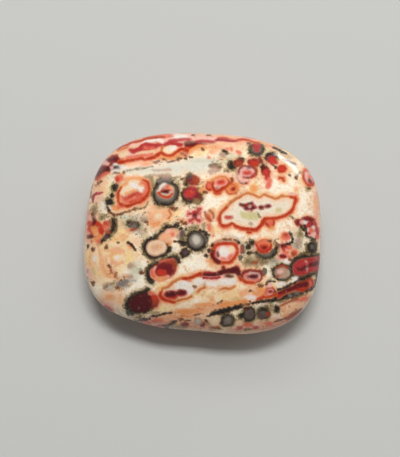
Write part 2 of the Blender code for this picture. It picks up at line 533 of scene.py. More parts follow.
faceMarkings["bigRedOrb"] = {
    "shellCream": [
        patch(-167, 87, -160, 98, -145, 105, -126, 105, -114, 99, -108, 88, -109, 74, -119, 64, -134, 58,
            -150, 53, -163, 57, -168, 68, -169, 79),
    ],
    "lineRed": [
        trail((2.5, 3.5, 4, 4.5, 5, 5, 5, 4.5), -119, 105, -111, 99, -107, 90, -107.5, 80, -112, 70,
            -120, 63, -132, 58, -144, 54),
        trail((4.5, 4, 3.5, 3.5, 3.5, 2.5), -144, 54, -156, 52, -165, 58, -169, 69, -168, 80, -163, 89),
    ],
    "glowCoral": [
        trail((5, 7.5, 8, 8.5, 8, 8, 8, 8, 5), -121, 101, -114.5, 96, -112, 87, -114, 78, -121, 71,
            -134, 65, -146, 61.5, -156, 62, -162, 70),
        oval(-168, 107.5, 7.5), oval(-163, 52, 7.5, 4, 20),
    ],
    "glowRed": [
        patch(-156, 70, -146, 75, -136, 79, -128, 80, -122, 75, -132, 71.5, -146, 67.5, -156, 65),
        oval(-171, 106, 3, 4), trail(2.5, -145, 60, -132, 62, -120, 68),
    ],
    "glowOrange": [
        trail(3, -154, 76, -142, 81, -130, 83.5),
        trail((5, 6, 5, 4), -159, 105, -145, 108, -130, 108, -118, 106), oval(-123, 96, 4, 3),
        trail(3.5, -162, 91, -152, 98), oval(-174, 49, 8, 3), oval(-161, 112, 3, 4),
    ],
    "glowWhite": [trail((5, 9, 8, 4), -143, 96, -133, 92, -125, 87, -120, 82)],
    "glowPink": [oval(-159, 52.5, 3.5, 2), oval(-149, 66, 3, 1.5)],
    "hazeOrange": [trail(6, -175, 82, -176, 66, -170, 54), trail(5, -102, 90, -103, 76, -110, 62)],
    "glowOlive": [trail((4, 7, 6, 3), -114, 111, -105, 109, -101.5, 102, -100, 94)],
    "dotBrown": [oval(-156.5, 117.5, 2.2, 2.5), oval(-172, 118, 4, 1)],
}

faceMarkings["underBigRedOrb"] = {
    "hazePeach": [oval(-142, 47, 30, 6, 12)],
    "hazeOrange": [oval(-172, 46, 9, 4), oval(-120, 56, 8, 3, 30)],
    "dotBrown": [
        trail((4.5, 4, 2.5, 2, 2.2), -186, 39, -176, 35, -164, 36, -152, 40, -135, 45), oval(-187, 40, 3.5),
        oval(-176, 34.5, 3), oval(-165, 35, 2.8),
    ],
    "lineOlive": [trail(2, -135, 45, -116, 50, -110, 58)],
    "ink": [oval(-176, 89, 3, 5, -15), oval(-186, 60, 6, 6.8)],
    "hazeOlive": [oval(-181, 75, 4.5, 7)],
    "dotInk": [oval(-180.5, 73, 2.5, 4.5), trail((2.5, 3), -191, 49, -187, 42)],
    "glowWhite": [oval(-185, 47.5, 3.5, 2.5), oval(-199, 52, 2.5, 7)],
    "mossOlive": [
        patch(-189, 92, -172, 96, -175, 66, -180, 48, -194, 44, -192, 66),
        patch(-178, 32, -145, 32, -110, 40, -106, 32, -120, 24, -150, 26),
    ],
}

faceMarkings["greyOrb"] = {
    "ink": [
        patch(-99, 78, -95, 91, -89, 100, -81, 106, -67, 108, -60, 99, -52, 94, -48.5, 82, -50, 71,
            -56, 61, -64, 55, -76, 52.5, -90, 57, -97, 67),
    ],
    "slate": [
        patch(-95, 79, -91.5, 89, -85, 97, -79, 102, -69, 103, -62, 95, -54.5, 89, -53, 79, -57, 68,
            -64, 61, -76, 59, -88, 63, -93, 71),
    ],
    "glowBeige": [oval(-74, 82, 16, 13.5, 15)],
    "glowPeach": [oval(-66, 86, 7), oval(-73, 74, 11, 5, 10)],
    "glowGrey": [trail(3, -89, 72, -78, 65, -64, 68), trail(3.5, -86, 103, -73, 108, -64, 105)],
    "glowWhite": [trail((1.5, 2.5, 2), -87, 83, -81, 92, -74, 96)],
    "glowPink": [oval(-73, 108.5, 4, 1.5)],
    "glowCoral": [oval(-69.5, 91.5, 4, 3, 30), oval(-73, 79, 13, 8, 15)],
    "lineRed": [trail((2, 2.5, 3, 2), -87, 78, -81, 70.5, -70, 69.5, -61, 76)],
    "glowPearl": [trail((1, 2, 2, 1), -81, 75, -73, 73, -66, 75, -62, 80)],
    "glowMaroon": [oval(-74.5, 80, 9, 4.2, 18)],
    "hazeOlive": [oval(-72, 112, 10, 3)],
    "hazeSage": [oval(-95, 104, 7, 5), oval(-48, 55, 4, 6)],
    "mossOlive": [oval(-74, 80, 29, 30), oval(-97, 110, 14, 4, -10)],
    "mossInk": [patch(-98, 70, -96, 56, -80, 49, -64, 51, -54, 60, -64, 60, -80, 57)],
}

faceMarkings["farMiddle"] = {
    "glowCoral": [
        trail((5, 7, 8, 4), -88, 192.5, -78, 193.5, -68, 193, -62, 192), oval(48, 166, 4, 1.2),
        oval(57, 166, 2, 3), oval(72, 160, 5, 2, -20), oval(13, 149, 2), oval(35, 185, 2.5, 1.5),
    ],
    # painted highlight: the pinkish-white reflection along the far rim
    "glowWhite": [oval(-46, 191, 15, 3.5)],
    "hazeBlush": [trail((8, 10, 10, 8), -75, 187, -40, 189, 0, 189, 40, 186), oval(80, 179, 20, 5, -10)],
    "glowCrimson": [
        trail((3, 5, 4), -66, 182, -48, 185, -26, 186), trail((3, 4, 3), -12, 182, 6, 182, 24, 180),
    ],
    "glowPink": [
        trail(3, -80, 180, -70, 184, -56, 188), oval(-24, 192, 8, 3), trail(3, -15, 187, 10, 186, 34, 185),
        oval(-44, 183, 5, 2),
    ],
    "crimson": [trail((5, 5.5, 8, 6), -74, 178, -64, 177.5, -52, 177, -44, 175.5)],
    "brick": [trail((7, 9, 8, 5.5, 3), -32, 169, -26, 171, -18, 173, -8, 176, 4, 178)],
    "glowMaroon": [trail((4, 4, 2.5), -33, 174, -22, 175, -12, 177)],
    "glowMauve": [trail((3, 4.5, 4, 3), -34, 178, -24, 179.5, -12, 180, -2, 179.5)],
    "glowBeige": [
        trail((2, 2.5, 2), 2, 183, 15, 183, 27, 183), trail(2, -5, 179.5, 7, 178.5, 20, 178.5),
        oval(40, 154, 6, 4), oval(25, 124, 10, 4), oval(16, 120, 5, 4), oval(27, 127, 7, 2.5),
    ],
    "lineCrimson": [trail((3.5, 5.5, 5, 4.5, 3), 28, 183.5, 36, 185, 48, 183.5, 58, 182, 68, 183)],
    "lineRed": [
        trail((2, 3, 3, 2.5), 32, 187, 42, 187.5, 52, 185.5, 62, 183.5),
        trail((3, 4, 4, 3.5, 2.5), 68, 183.5, 78, 184.5, 88, 184, 102, 181, 114, 177),
    ],
    "hazeOrange": [
        trail((7, 10, 11, 11, 8), -90, 148.5, -60, 148, -35, 156, -10, 167, 15, 172), oval(24, 170, 10, 5),
    ],
    "hazeYellow": [oval(0, 160, 16, 5, 20)],
    "glowOrange": [
        oval(-112, 136.5, 9, 2.2, 8), trail(4, -84, 149, -66, 148, -46, 153),
        trail(4, -26, 162, -12, 168, 4, 172),
    ],
    "glowRust": [
        trail(2, -42, 157, -33, 153), trail(2.2, -39, 161, -31, 159), trail(2.5, 18, 130, 26, 132, 34, 129),
    ],
    "dotBrown": [
        oval(-94, 140, 5, 1.6, 8), oval(-87, 142, 3, 2), oval(-62, 141, 8, 1.4, 12), oval(-49, 144, 2),
        oval(-46, 148, 4.5, 1.2), oval(-35, 148, 3, 1.2), oval(-22, 150, 3, 1), oval(-76, 145, 3, 1.2),
        oval(1, 166, 2, 2.8), oval(-18, 193.5, 2.5, 1), oval(13, 194, 3.5, 1),
    ],
    "mossOlive": [
        patch(-104, 137, -80, 136, -60, 139, -40, 145, -20, 150, -25, 154, -45, 153, -65, 148, -98, 145),
        oval(30, 136, 15, 10), oval(44, 157, 10, 8), oval(49, 123, 8, 4, -15),
    ],
    "glowPeach": [oval(20, 161, 5, 3), oval(35, 170, 4, 2.5)],
    "lineInk": [trail((2.5, 3.5, 3), 38, 164, 44, 161, 50, 158)],
    "hazeSage": [oval(42, 149, 5, 4), oval(60, 151, 9, 5), oval(30, 144, 15, 5)],
    "lineOlive": [trail((4, 6, 5), 14, 131, 24, 136, 37, 130), trail((2.5, 3), 44, 126, 53, 122)],
    "hazeOlive": [oval(26, 133, 11, 5)],
}

faceMarkings["farPaleBand"] = {
    # pale stone with a painted highlight on it: the patch takes the outline of the far window's reflection,
    # sharp lower edge and all
    "chalkAndHighlight": [
        patch(-152, 118, -150, 124, -125, 128, -100, 132, -72, 136, -45, 140, -20, 147, 5, 149, 25, 143,
            12, 134, 10, 120, 0, 115, -30, 115, -70, 115.5, -110, 114.5, -144, 115),
    ],
    # painted reflection: this thin dark line is the window's frame mirrored in the polish
    "lineOlive": [trail((2, 2.2, 1.5), -151, 122, -125, 127, -100, 130)],
    # the first of these thin lines is a painted reflection of the window's frame
    "glowBeige": [
        trail(1.3, -100, 123.5, -80, 123, -65, 124), trail((1.5, 2, 1.5), -99, 114.5, -85, 113.5, -68, 115),
    ],
    "glowPink": [trail((2, 3, 2), -124, 133, -112, 133.5, -102, 134)],
    # painted highlight: the bright left tip of the window's reflection
    "glowWhite": [trail((2, 3.5, 3), -180, 120.5, -166, 125, -153, 128)],
    "hazePeach": [oval(-135, 135, 20, 4, 5)],
    "hazeGrey": [oval(-30, 129, 6, 1.5, 10), oval(-13, 140, 6, 1.5), oval(-20, 122, 5, 1.2)],
}

faceMarkings["darkOrbs"] = {
    "ink": [
        trail((3.5, 4.5, 3), -32, 98, -29.5, 106, -24, 111),
        patch(-41, 78, -41, 70, -38, 63, -30, 60, -23, 58, -16, 61, -8, 59, -3, 65, -4, 73, -9, 82,
            -18, 87, -33, 86),
    ],
    "maroon": [oval(-19, 102.5, 10, 8, 10), oval(-22.5, 76, 14, 12.5), oval(-11, 68, 6, 7)],
    "glowRust": [oval(-12.5, 103, 6, 6.5)],
    "glowMauve": [oval(-22, 109.5, 6, 2.5, 5)],
    "glowCrimson": [oval(-25, 77, 10, 8), oval(-19, 89, 6, 2)],
    "glowRed": [oval(-25, 78, 5, 3.5)],
    "glowCoral": [oval(-23, 80, 4.5, 1.5, 10), oval(-30, 74, 3, 2)],
    "hazePeach": [oval(-38, 53, 6, 4), oval(-26, 94, 4, 2)],
    "mossOlive": [
        patch(-48, 64, -42, 54, -26, 47, -10, 45, 1, 56, -15, 57, -34, 58), oval(-50, 108, 9, 4),
        oval(-5, 94, 8, 7),
    ],
    "mossInk": [trail(3, -45, 80, -44, 66, -36, 56, -24, 54, -8, 54)],
    "hazeOlive": [oval(-53, 108, 5, 3), oval(-16, 49, 6, 3)],
    "glowOlive": [oval(-10, 61, 5)],
    "dotBrown": [oval(-42, 106, 2.5, 1.5, 20)],
}

faceMarkings["orangeLink"] = {
    "hazeOrange": [oval(1, 84, 11, 7)],
    "glowOrange": [
        oval(-1, 83.5, 6, 3.5, -10), oval(59, 86, 9.5, 7.8),
        trail((3, 4, 4, 3), 20, 102, 27, 106, 38, 107.5, 49, 104), trail((3, 4, 3), 66, 95, 71, 90, 68, 82),
        oval(104, 89, 5.5, 5),
    ],
    "hazeYellow": [oval(2, 92, 12, 10), oval(102, 89, 11, 10)],
    "dotBrown": [oval(4.5, 79.5, 3.5, 2)],
    "brick": [
        oval(13.5, 91, 6, 8.5, -15), oval(36, 96.5, 19.5, 12.5, 8), oval(59, 86, 12.5, 10.5),
        oval(30, 81, 8, 4),
    ],
    "shellPink": [oval(36, 97.5, 14.5, 8.5, 8)],
    "lineRed": [
        trail((3, 3.5, 5, 6, 4.5, 3.5, 3), 22, 99, 20, 93, 24, 85, 31, 82, 41, 87, 49, 93, 53, 99),
        trail((2, 3, 2.5), 53, 96, 58, 100, 59, 104),
    ],
    "glowCoral": [oval(37, 98.5, 10, 5, 8), oval(13, 93, 3, 4.5)],
    "glowRed": [oval(36, 98.5, 5.5, 2.2, 8), oval(61, 86, 5, 3.8, 20)],
    "glowMaroon": [oval(61.5, 85.5, 1.6, 1, 20)],
    "glowPink": [trail((3, 4, 3, 2), 25, 94, 33, 91, 43, 94, 48, 100), oval(34, 104, 8, 1.5, 8)],
    "glowGrey": [oval(29, 87.5, 2.5, 1.2)],
    "hazeBlush": [oval(48, 113, 9, 7), oval(63, 106, 5, 6)],
}

faceMarkings["farRightOrbs"] = {
    "hazeSage": [oval(59, 150, 10, 7)],
    "ink": [
        oval(60, 134, 6.5, 7, -15), oval(109, 165, 14.5, 11), oval(121.5, 129, 5.5, 5),
        oval(78, 145, 4, 1.8, -25), trail((3, 4.5, 4, 2.5), 129, 147, 133, 153, 140, 154.5, 147, 151),
    ],
    "maroon": [
        oval(72, 138, 8.5, 6.5), oval(89, 121, 17.5, 11.5), oval(102, 139, 11, 7.5),
        oval(125, 122, 7.5, 9, 35), oval(83, 99.5, 6, 2.5), oval(116, 143, 3, 5, 20),
    ],
    "slate": [oval(109, 165, 12, 8.5)],
    "glowRust": [oval(73, 137, 4, 3.5), trail(3, 103, 130, 108, 124, 106, 116)],
    "crimson": [oval(139, 144, 8, 7.5), oval(128.5, 117, 4, 6), oval(129, 110, 2.5, 5)],
    "brick": [oval(159.5, 126.5, 9, 7.5), trail((3.5, 4, 3), 154, 109, 160, 108.5, 162, 102)],
    "glowPink": [
        oval(89.5, 121, 12.5, 7.5), oval(76, 112, 3.5, 7.5, -20), trail(3.5, 75, 108, 80, 103, 89, 104),
    ],
    "glowCoral": [trail((4, 8, 9, 6), 132, 105, 134, 100, 132, 94, 130, 90)],
    "glowRed": [
        oval(103, 138, 7.5, 4), oval(89, 119.5, 7.5, 3.5), oval(159.5, 127, 7, 5), oval(141, 143, 5.5, 5),
        oval(126, 120, 3, 5, 20),
    ],
    "glowCrimson": [
        oval(109, 171, 7, 4.5), oval(109, 164, 5, 3), oval(148, 139, 3.5, 2, -20), oval(102, 114, 4, 2, 30),
    ],
    "glowMauve": [oval(93, 128.5, 2.5, 1.5), oval(114, 152, 3, 2.5)],
    "glowBeige": [trail((1.5, 2, 2.5, 3.5), 69.5, 125, 68.5, 114, 72, 104, 82, 99)],
    "glowMaroon": [oval(120, 129, 3.5)],
    "dotBrown": [
        oval(93, 177, 2.8, 1.2), oval(174, 114, 2, 2.2), oval(59, 104, 1.2, 3),
        trail(2.2, 139, 136, 145, 131), oval(187, 109, 2.8, 3),
    ],
    "dotInk": [
        oval(146, 130, 2, 1.5), trail((2.5, 3, 3), 141, 169, 149, 166, 154, 163.5),
        trail((3, 3.5, 2.5), 157, 162.5, 163, 160, 168, 157),
    ],
    "hazeGrey": [trail(5, 188, 112, 193, 116, 200, 117), oval(168, 153, 8, 2, -30)],
    "lineOlive": [trail((2, 2.5), 189, 114, 197, 118)],
    "hazeYellow": [oval(186, 85, 4, 6)],
    "glowPeach": [oval(186, 85, 2.5, 4)],
    # painted highlight: the white streak where the low window is mirrored on the far right shoulder
    "glowWhite": [trail((4, 6, 5), 166, 143, 178, 137, 187, 131)],
    "glowGrey": [trail(1.5, 163, 145, 172, 141, 185, 136)],
    "glowOrange": [oval(103, 87, 7, 7.5, 20)],
    "hazeOrange": [oval(44, 109, 4, 3), oval(160, 126, 12, 9)],
    "mossOlive": [oval(64, 140, 14, 10), oval(110, 163, 15, 11), oval(189, 108, 7, 5)],
    "mossInk": [oval(61, 136, 10, 8)],
}

faceMarkings["farRightEdgeOrb"] = {
    "hazePeach": [oval(220, 110, 12, 18, 20)],
    "brick": [
        patch(203, 122, 201.5, 112, 203, 102, 208, 95, 215, 92, 221, 95, 222, 102, 219, 110, 214, 118,
            208, 124),
    ],
    "glowPink": [patch(206, 119, 205.5, 112, 207, 104, 211, 99.5, 217, 100, 219, 105, 216, 112, 211, 119)],
    "glowCoral": [oval(208, 124, 3), oval(213, 110, 3, 3.5)],
    "glowRed": [oval(216, 99, 4.5, 3)],
    "glowMaroon": [oval(214, 104, 3.5, 3)],
    "hazeOlive": [oval(212, 88, 6, 4)],
    "dotBrown": [oval(213, 87.5, 3.5, 2)],
    "glowPeach": [trail((3, 4, 3), 227, 70, 226.5, 55, 225, 40)],
}

faceMarkings["bigOblong"] = {
    "shellPale": [
        patch(35, 33, 46, 48, 60, 62, 80, 72, 90, 76, 115, 69, 123, 73, 148, 68, 178, 69, 183, 58,
            179, 45, 166, 34, 138, 29, 122, 26, 115, 14, 108, 6, 76, 10, 60, 15, 42, 12, 35, 22),
    ],
    "glowMoss": [patch(76, 39, 88, 40, 106, 39, 112, 33, 110, 27, 96, 26, 80, 29), oval(152, 45, 5, 3.5)],
    "lineOchre": [
        trail((3.5, 4, 3.5, 3, 2.8, 2.5, 2.2, 2.2, 2.2), 37, 39, 47, 50, 61, 62.5, 80, 72.5, 90, 76.5,
            100, 74.5, 114, 69.5, 123, 74, 133, 70.5),
        trail((2.2, 2.2, 2.5, 2.5), 133, 70.5, 148, 68, 160, 70.5, 176, 71),
    ],
    "lineRed": [
        trail((5, 5, 4.5, 4), 33.5, 24, 34, 31, 39, 40, 47, 49),
        trail((3, 4.5, 4, 4, 5.5, 6, 5), 176, 71, 184, 69, 186, 62, 182, 53, 180, 46, 173, 38, 164, 33),
        trail((5, 4.5, 4, 4.5, 7, 6.5, 6), 164, 33, 150, 28.5, 138, 26, 129, 27, 122, 22, 118, 14, 110, 6),
        trail((6, 7, 6, 5, 5, 4.5, 4.5, 5, 5), 110, 6, 100, 4.5, 92, 5.5, 76, 8, 67, 11, 60, 16, 52, 11.5,
            42, 11, 36, 17),
        trail((5, 5), 36, 17, 33.5, 24),
    ],
    "glowCoral": [
        oval(187.5, 65, 3.5, 6.5), oval(135, 19, 4, 5), trail(2, 33, 12, 40, 8, 52, 9),
        trail(2.5, 80, 6.5, 66, 8),
    ],
    "glowPink": [oval(178, 76, 5, 2.5)],
    "brick": [oval(94, -0.5, 3.5, 3), oval(134.5, 18.5, 9.5)],
    "hazeOrange": [oval(137, 8, 6, 4), oval(94, -5, 5, 3)],
    "glowOrange": [oval(133, 21, 3), oval(138, 9.5, 3.5, 2)],
    "glowMaroon": [
        oval(89, 48, 4, 1.8, -20), oval(100, 48, 4.5, 2.5, 20), oval(95, 56, 3, 2),
        trail(2, 77, 56, 85, 54), oval(118, 49, 3, 1.6), oval(130, 51, 4, 1.4, 15),
        trail(3, 125, 25, 120, 17), trail(2.5, 108, 5, 92, 4.5),
    ],
    "glowCrimson": [
        patch(81, 53, 86, 46, 93, 46, 97, 41, 102, 46, 109, 48, 103, 54, 99, 60, 94, 56, 88, 57),
        oval(118, 49, 5, 2.8), oval(130, 51, 6, 2.4, 15),
    ],
    "glowPearl": [oval(94.5, 51, 1.2, 0.8)],
    "glowRust": [trail((4, 4, 3.5), 76, 56, 83, 54.5, 89, 54)],
    "glowRed": [oval(52, 29, 8, 3.6)],
    "glowGrey": [oval(93.5, 51, 2.5, 1.5)],
    "lineOlive": [trail((2, 2), 111, 38, 116, 30), trail(2, 174, 31, 182, 28)],
    "glowBeige": [oval(96, 17, 3, 2.5)],
    "mossOlive": [patch(74, 40, 114, 40, 116, 26, 84, 18, 64, 26)],
    "hazeSage": [oval(74, 22, 8, 4), oval(84, 66, 9, 3)],
}

faceMarkings["leftEdgeOrb"] = {
    "hazeOlive": [oval(-217, 44, 6.5, 10), oval(-200, 30, 8, 6)],
    "mossOlive": [
        oval(-217, 46, 9, 12), oval(-198, 31, 12, 9), oval(-180, 14, 9, 16), oval(-190, -12, 12, 8),
    ],
    "mossInk": [oval(-180, 12, 6, 14), oval(-198, -13, 9, 5)],
    "hazePeach": [oval(-210, 34, 6, 5), oval(-186, 32, 5)],
    "mossRust": [oval(-224, 25, 9, 34), oval(-210, -18, 16, 7)],
    "zoneSalmon": [oval(-226, 10, 9, 32)],
    "brick": [oval(-214, 4, 18, 15)],
    "glowRed": [
        oval(-203, 5, 5, 8, 20), trail((5, 6, 6, 5), -229, 16, -218, 19, -209, 15, -203, 8),
        trail(4, -226, 6, -222, -4), oval(-193, 19, 4, 3),
    ],
    "glowMaroon": [trail((4, 5, 4), -218, 29, -216, 22, -218, 16), oval(-225, -9, 6, 3.5)],
    "glowOrange": [
        oval(-216, 2, 9), oval(-207, -9, 7, 5, 20), oval(-207, 11, 2.5, 2), oval(-214, -16, 5, 3),
        oval(-194, 12, 3.5, 4),
    ],
    "glowCream": [oval(-215, -1, 6.5, 6)],
    "glowPink": [oval(-225, 28, 3.5, 4), oval(-227, -1, 3.5, 4), oval(-210, -15, 3, 2)],
    "glowCoral": [oval(-193, 13, 6, 7, -10), oval(-226, 4, 3.5, 4), oval(-209, -19, 3.5, 2.5)],
    "glowRust": [trail(3.5, -187, 22, -185, 14), oval(-190, 1, 4, 2.5)],
    "ink": [
        trail((4, 5, 5, 4), -178, 24, -177, 14, -179, 5, -185, 1), oval(-201, -15, 5.5, 3, 15),
        oval(-190, -7, 3.5),
    ],
    "glowMauve": [oval(-194, -10, 3.5, 3)],
    "dotBrown": [
        oval(-192, -31, 3, 3.5), oval(-219, -35, 3.5, 2.5, -30), oval(-220, 36, 3, 3.5),
        oval(-169, -21.5, 2),
    ],
    "dotInk": [oval(-230, -28, 3)],
    "hazeOrange": [oval(-159, -8, 5, 4)],
}

faceMarkings["leftMiddle"] = {
    "hazeGrey": [oval(-138, 14, 17, 14), oval(-122, 2, 8), oval(-116, 26, 12, 5)],
    "mossInk": [oval(-140, 15, 9)],
    "slate": [oval(-139.5, 13, 8.5, 7.5)],
    "ink": [oval(-146, 17, 4.5, 3.5), oval(-131, 14, 4, 3.5)],
    "glowRust": [oval(-139, 5, 6, 1.5), trail(3, -149, -22, -140, -30)],
    "glowMauve": [oval(-142, 17, 4, 3)],
    "glowPeach": [
        oval(-146, 4, 4, 2.5), oval(-72, 36, 4, 8), oval(-100, 20, 10, 3.5), oval(-104, 34, 4, 5),
    ],
    "mossRust": [
        oval(-126, 24, 13, 6), oval(-111, 19, 8, 6), oval(-94, 17, 12, 5), oval(-69, 34, 7, 10),
        oval(-56, 46, 9, 5, -30), oval(-42, 22, 9, 6),
    ],
    "mossOlive": [oval(-136, 26, 18, 7), oval(-123, 0, 9, 12), oval(-59, 22, 12, 5)],
    "hazeSage": [oval(-123, 4, 6, 7), oval(-140, 32, 14, 4)],
    "dotBrown": [
        oval(-112, 20.5, 3.5, 2.5), oval(-110, 16, 2), oval(-60, 47, 3.5, 2, -25), oval(-54, 44, 2, 3, -30),
        oval(-36, 18, 4, 2.2), oval(-42, 21, 2),
    ],
    "hazePeach": [oval(-86, 30, 25, 21), oval(-38, 21, 9, 6)],
    "hazeOrange": [
        oval(-96, 16, 12, 5), oval(-69, 36, 5, 10), oval(-88, 49, 12, 3), oval(-39, 22, 7, 5),
        oval(-102, 26, 4, 8),
    ],
    "shellCream": [oval(-89, 32, 9, 7)],
    "glowOrange": [oval(-95, 17, 7, 2), oval(-38, 19, 4, 2)],
    "lineOchre": [trail(2, -66, 44, -63, 36, -68, 28)],
    "dotInk": [trail((2.5, 3, 4.5), -149, -21, -141, -26, -136, -35)],
    "hazeYellow": [oval(-170, 5, 10, 11), oval(-173, -10, 10, 8), oval(-50, 38, 8)],
}

faceMarkings["peachOrb"] = {
    "ink": [
        patch(-104, -12, -112, -17, -117, -28, -115, -41, -107, -49, -95, -52, -80, -49, -68, -41,
            -65, -31, -72, -18, -84, -13),
        trail((4, 5, 5.5, 6.5, 5.5, 5), -96, -10, -86, -5, -78, 3, -70, 10, -60, 10, -52, 14),
    ],
    "mossInk": [
        patch(-122, -40, -124, -20, -110, -4, -90, -4, -76, 9, -60, 15, -44, 17, -30, 8, -46, 6, -66, 6,
            -80, -3, -100, -13, -116, -26),
        patch(-52, 9, -34, 10, -28, -5, -30, -22, -46, -20, -40, -6),
    ],
    "mossOlive": [oval(-94, -30, 31, 26), oval(-64, 12, 20, 6)],
    "shellPeach": [oval(-92, -31, 19.5, 15, 15)],
    "glowPeach": [trail((11, 17, 17, 12), -82, -12, -72, -7, -64, -2, -56, 0), oval(-70, -17, 6, 4)],
    "glowPink": [oval(-69, 2, 5, 1.5, 25)],
    "glowCoral": [oval(-59, -5, 2, 3.5)],
    "glowBeige": [oval(-49, -3, 5, 7)],
    "glowMauve": [oval(-41, -3, 3.5, 6)],
    "dotInk": [trail((2, 3, 3.5), -56, -20, -46, -19, -37, -21), oval(-44, 7, 3, 2), oval(-34, 6, 2)],
    "glowOrange": [trail(2.5, -66, -26, -62, -21, -54, -19)],
    "hazePeach": [oval(-69, -10, 12, 8, -20)],
    "hazeOrange": [oval(-144, -30, 6, 5)],
    "chalkAndHighlight": [trail((5, 9, 8, 5), -96, -59, -78, -52, -62, -44, -56, -34), oval(-48, -52, 5)],
}

faceMarkings["leftSwirls"] = {
    "hazeOrange": [
        trail((5, 7, 8, 7, 5), -208, -38, -204, -55, -198, -74, -188, -88, -176, -90),
        trail(5, -186, -50, -176, -42, -164, -43),
        trail((2, 3.5, 3, 3.5, 3), -209, -37, -202, -52, -199, -68, -192, -81, -179, -89),
        trail((1.5, 3, 3, 2), -189, -39, -176, -34, -163, -37, -156, -48),
        trail((2, 3, 2), -184, -47, -179, -59, -168, -64), trail(2.5, -223, -39, -226, -54, -224, -68),
        oval(-197, -76, 4, 5), trail(2.5, -174, -96, -162, -94, -152, -86),
        trail(2, -192, -22, -180, -16, -168, -14), trail(2, -204, -19, -212, -31), oval(-159, -13, 4, 3),
        trail(2.5, -152, -10, -146, -2, -153, 5),
    ],
    "glowCream": [
        trail((3, 5, 4), -196, -42, -189, -56, -188, -64),
        trail((3, 5, 3), -213, -34, -211, -50, -208, -66), oval(-164, -52, 9, 5),
        trail(4, -210, -92, -198, -96, -186, -98), trail(3.5, -176, -26, -162, -24),
    ],
    "glowWhite": [oval(-216, -52, 2.5, 5), oval(-172, -51, 4, 2.5)],
    "hazeYellow": [
        oval(-225, -50, 5, 10), oval(-150, -55, 10, 7), oval(-214, -80, 6, 8), oval(-180, -52, 6, 12),
    ],
    "glowPeach": [
        trail(3, -182, -58, -172, -63, -160, -60), trail(2.5, -193, -50, -192, -64),
        trail(3, -183, -39, -172, -36, -160, -38),
    ],
    "glowMoss": [trail(2, -220, -74, -216, -84)],
    "glowRust": [
        trail((3, 2, 2.5, 2), -188, -68, -184, -74, -183, -80, -179, -82), trail(2.5, -172, -82, -174, -90),
    ],
    "mossRust": [oval(-183, -76, 11, 13), oval(-173, -88, 8, 6), oval(-206, -94, 8, 4)],
    "dotBrown": [oval(-186, -69, 3.5, 2, -30), oval(-220, -103, 3.5, 4.5), oval(-121, -80, 4, 3.5)],
    "mossOlive": [oval(-121, -80, 8, 7), oval(-143, -67, 7, 5), oval(-228, -96, 5, 6)],
    "glowBeige": [oval(-229, -78, 2, 3.5), oval(-143, -68, 5, 4), oval(-146, -88, 6, 4)],
    "glowPink": [oval(-224, -82, 3.5, 8), oval(-179, -75, 2.5, 2)],
}

faceMarkings["redTeardrop"] = {
    "ink": [
        trail((5, 5.5, 5, 4, 4, 5, 6, 7, 6), -49, -59, -53, -53, -62, -51.5, -76, -57, -90, -63,
            -103, -70, -109, -80, -107, -92, -101, -98),
    ],
    "mossInk": [trail(7, -50, -56, -64, -50, -82, -57, -102, -66, -110, -80, -106, -98)],
    "mossOlive": [trail(10, -54, -50, -80, -53, -106, -64, -113, -84)],
    "maroon": [
        patch(-53, -61, -62, -56, -80, -61, -99, -71, -103, -82, -96, -92, -83, -94, -66, -88, -54, -76),
    ],
    "shellPink": [trail((3, 5.5, 6.5, 6, 4), -94, -70, -100, -79, -97, -89, -86, -94, -69, -89)],
    "glowOrange": [trail((3.5, 5, 4), -98, -87, -88, -93, -74, -91)],
    "glowRust": [trail((3, 4, 3), -57, -72, -56, -65, -62, -60), trail((2, 3), -70, -59, -62, -58)],
    "glowRed": [patch(-74, -79, -88, -77, -91, -82, -84, -87, -74, -86)],
    "glowCoral": [
        trail((2.5, 4, 3), -101, -76, -100, -83, -97, -89), trail(1.6, -86, -60, -72, -56, -60, -56),
    ],
}

faceMarkings["middleStar"] = {
    "crimson": [
        oval(-15, 33, 7.5), trail((3.5, 4, 2.5), -10, 38, -8, 44, -4, 46), trail((3, 4), -26, 36, -18, 32),
        trail((3, 4), -7, 22, -12, 28), trail((3, 2.5), -20, 26, -26, 22),
    ],
    "mossRose": [patch(-30, 42, -16, 49, -3, 46, -2, 32, -4, 19, -22, 18, -31, 27)],
    "glowPink": [oval(-24, 30, 2.5, 2), oval(-8, 30, 2)],
    "glowMaroon": [oval(-15, 32, 3, 2.5)],
    "glowRust": [
        trail((1.5, 2.5, 1.5), 5, 39, 9, 29, 17, 23), trail((1.2, 2, 1.2), 15, 42, 21, 35, 22, 29),
    ],
    "hazeOrange": [oval(13, 29, 9, 13), trail((7, 7, 4.5), 14, 16, 18, 2, 20, -8), oval(21, 42, 5)],
    "glowCoral": [oval(13, 26, 3, 5), trail(2.5, 13, 12, 15, 4)],
    "hazeYellow": [oval(23, 39, 6, 7), oval(30, 5, 8, 6)],
    "mossRust": [oval(12, 24, 9, 14), trail(7, 14, 10, 19, -6)],
    "hazeOlive": [oval(2, 13, 5, 3)],
}

faceMarkings["middleGreyOrb"] = {
    "hazeOlive": [oval(-18, 9, 12, 3.5), oval(-42, -6, 9, 13)],
    "mossOlive": [oval(-13, -14, 27, 28), oval(-16, 10, 16, 6)],
    "mossInk": [oval(-13, -17, 23, 25), oval(-35, -42, 11, 10), oval(-37, -22, 8, 6)],
    "ink": [
        oval(-12.5, -17, 19, 20.5), oval(-36, -22, 6, 4), oval(-35, -42, 8.5, 7),
        trail((4, 3), -39, -49, -43, -42),
    ],
    "slate": [oval(-13, -16, 14, 14.5), trail((3, 5, 4), 0, -4, 6, -9, 8, -18)],
    "glowGrey": [oval(-13, -16, 11.5), trail(2, -2, 1, 7, -4, 13, -9)],
    "glowPearl": [oval(-13, -15, 7.2, 7.5)],
    "lineInk": [trail((2.5, 3, 2.5), -6, 3.5, 5, 1, 13, -6), trail((2, 2), 6, -4, 11, -12)],
    "glowMauve": [oval(-34, -41, 4, 3)],
}

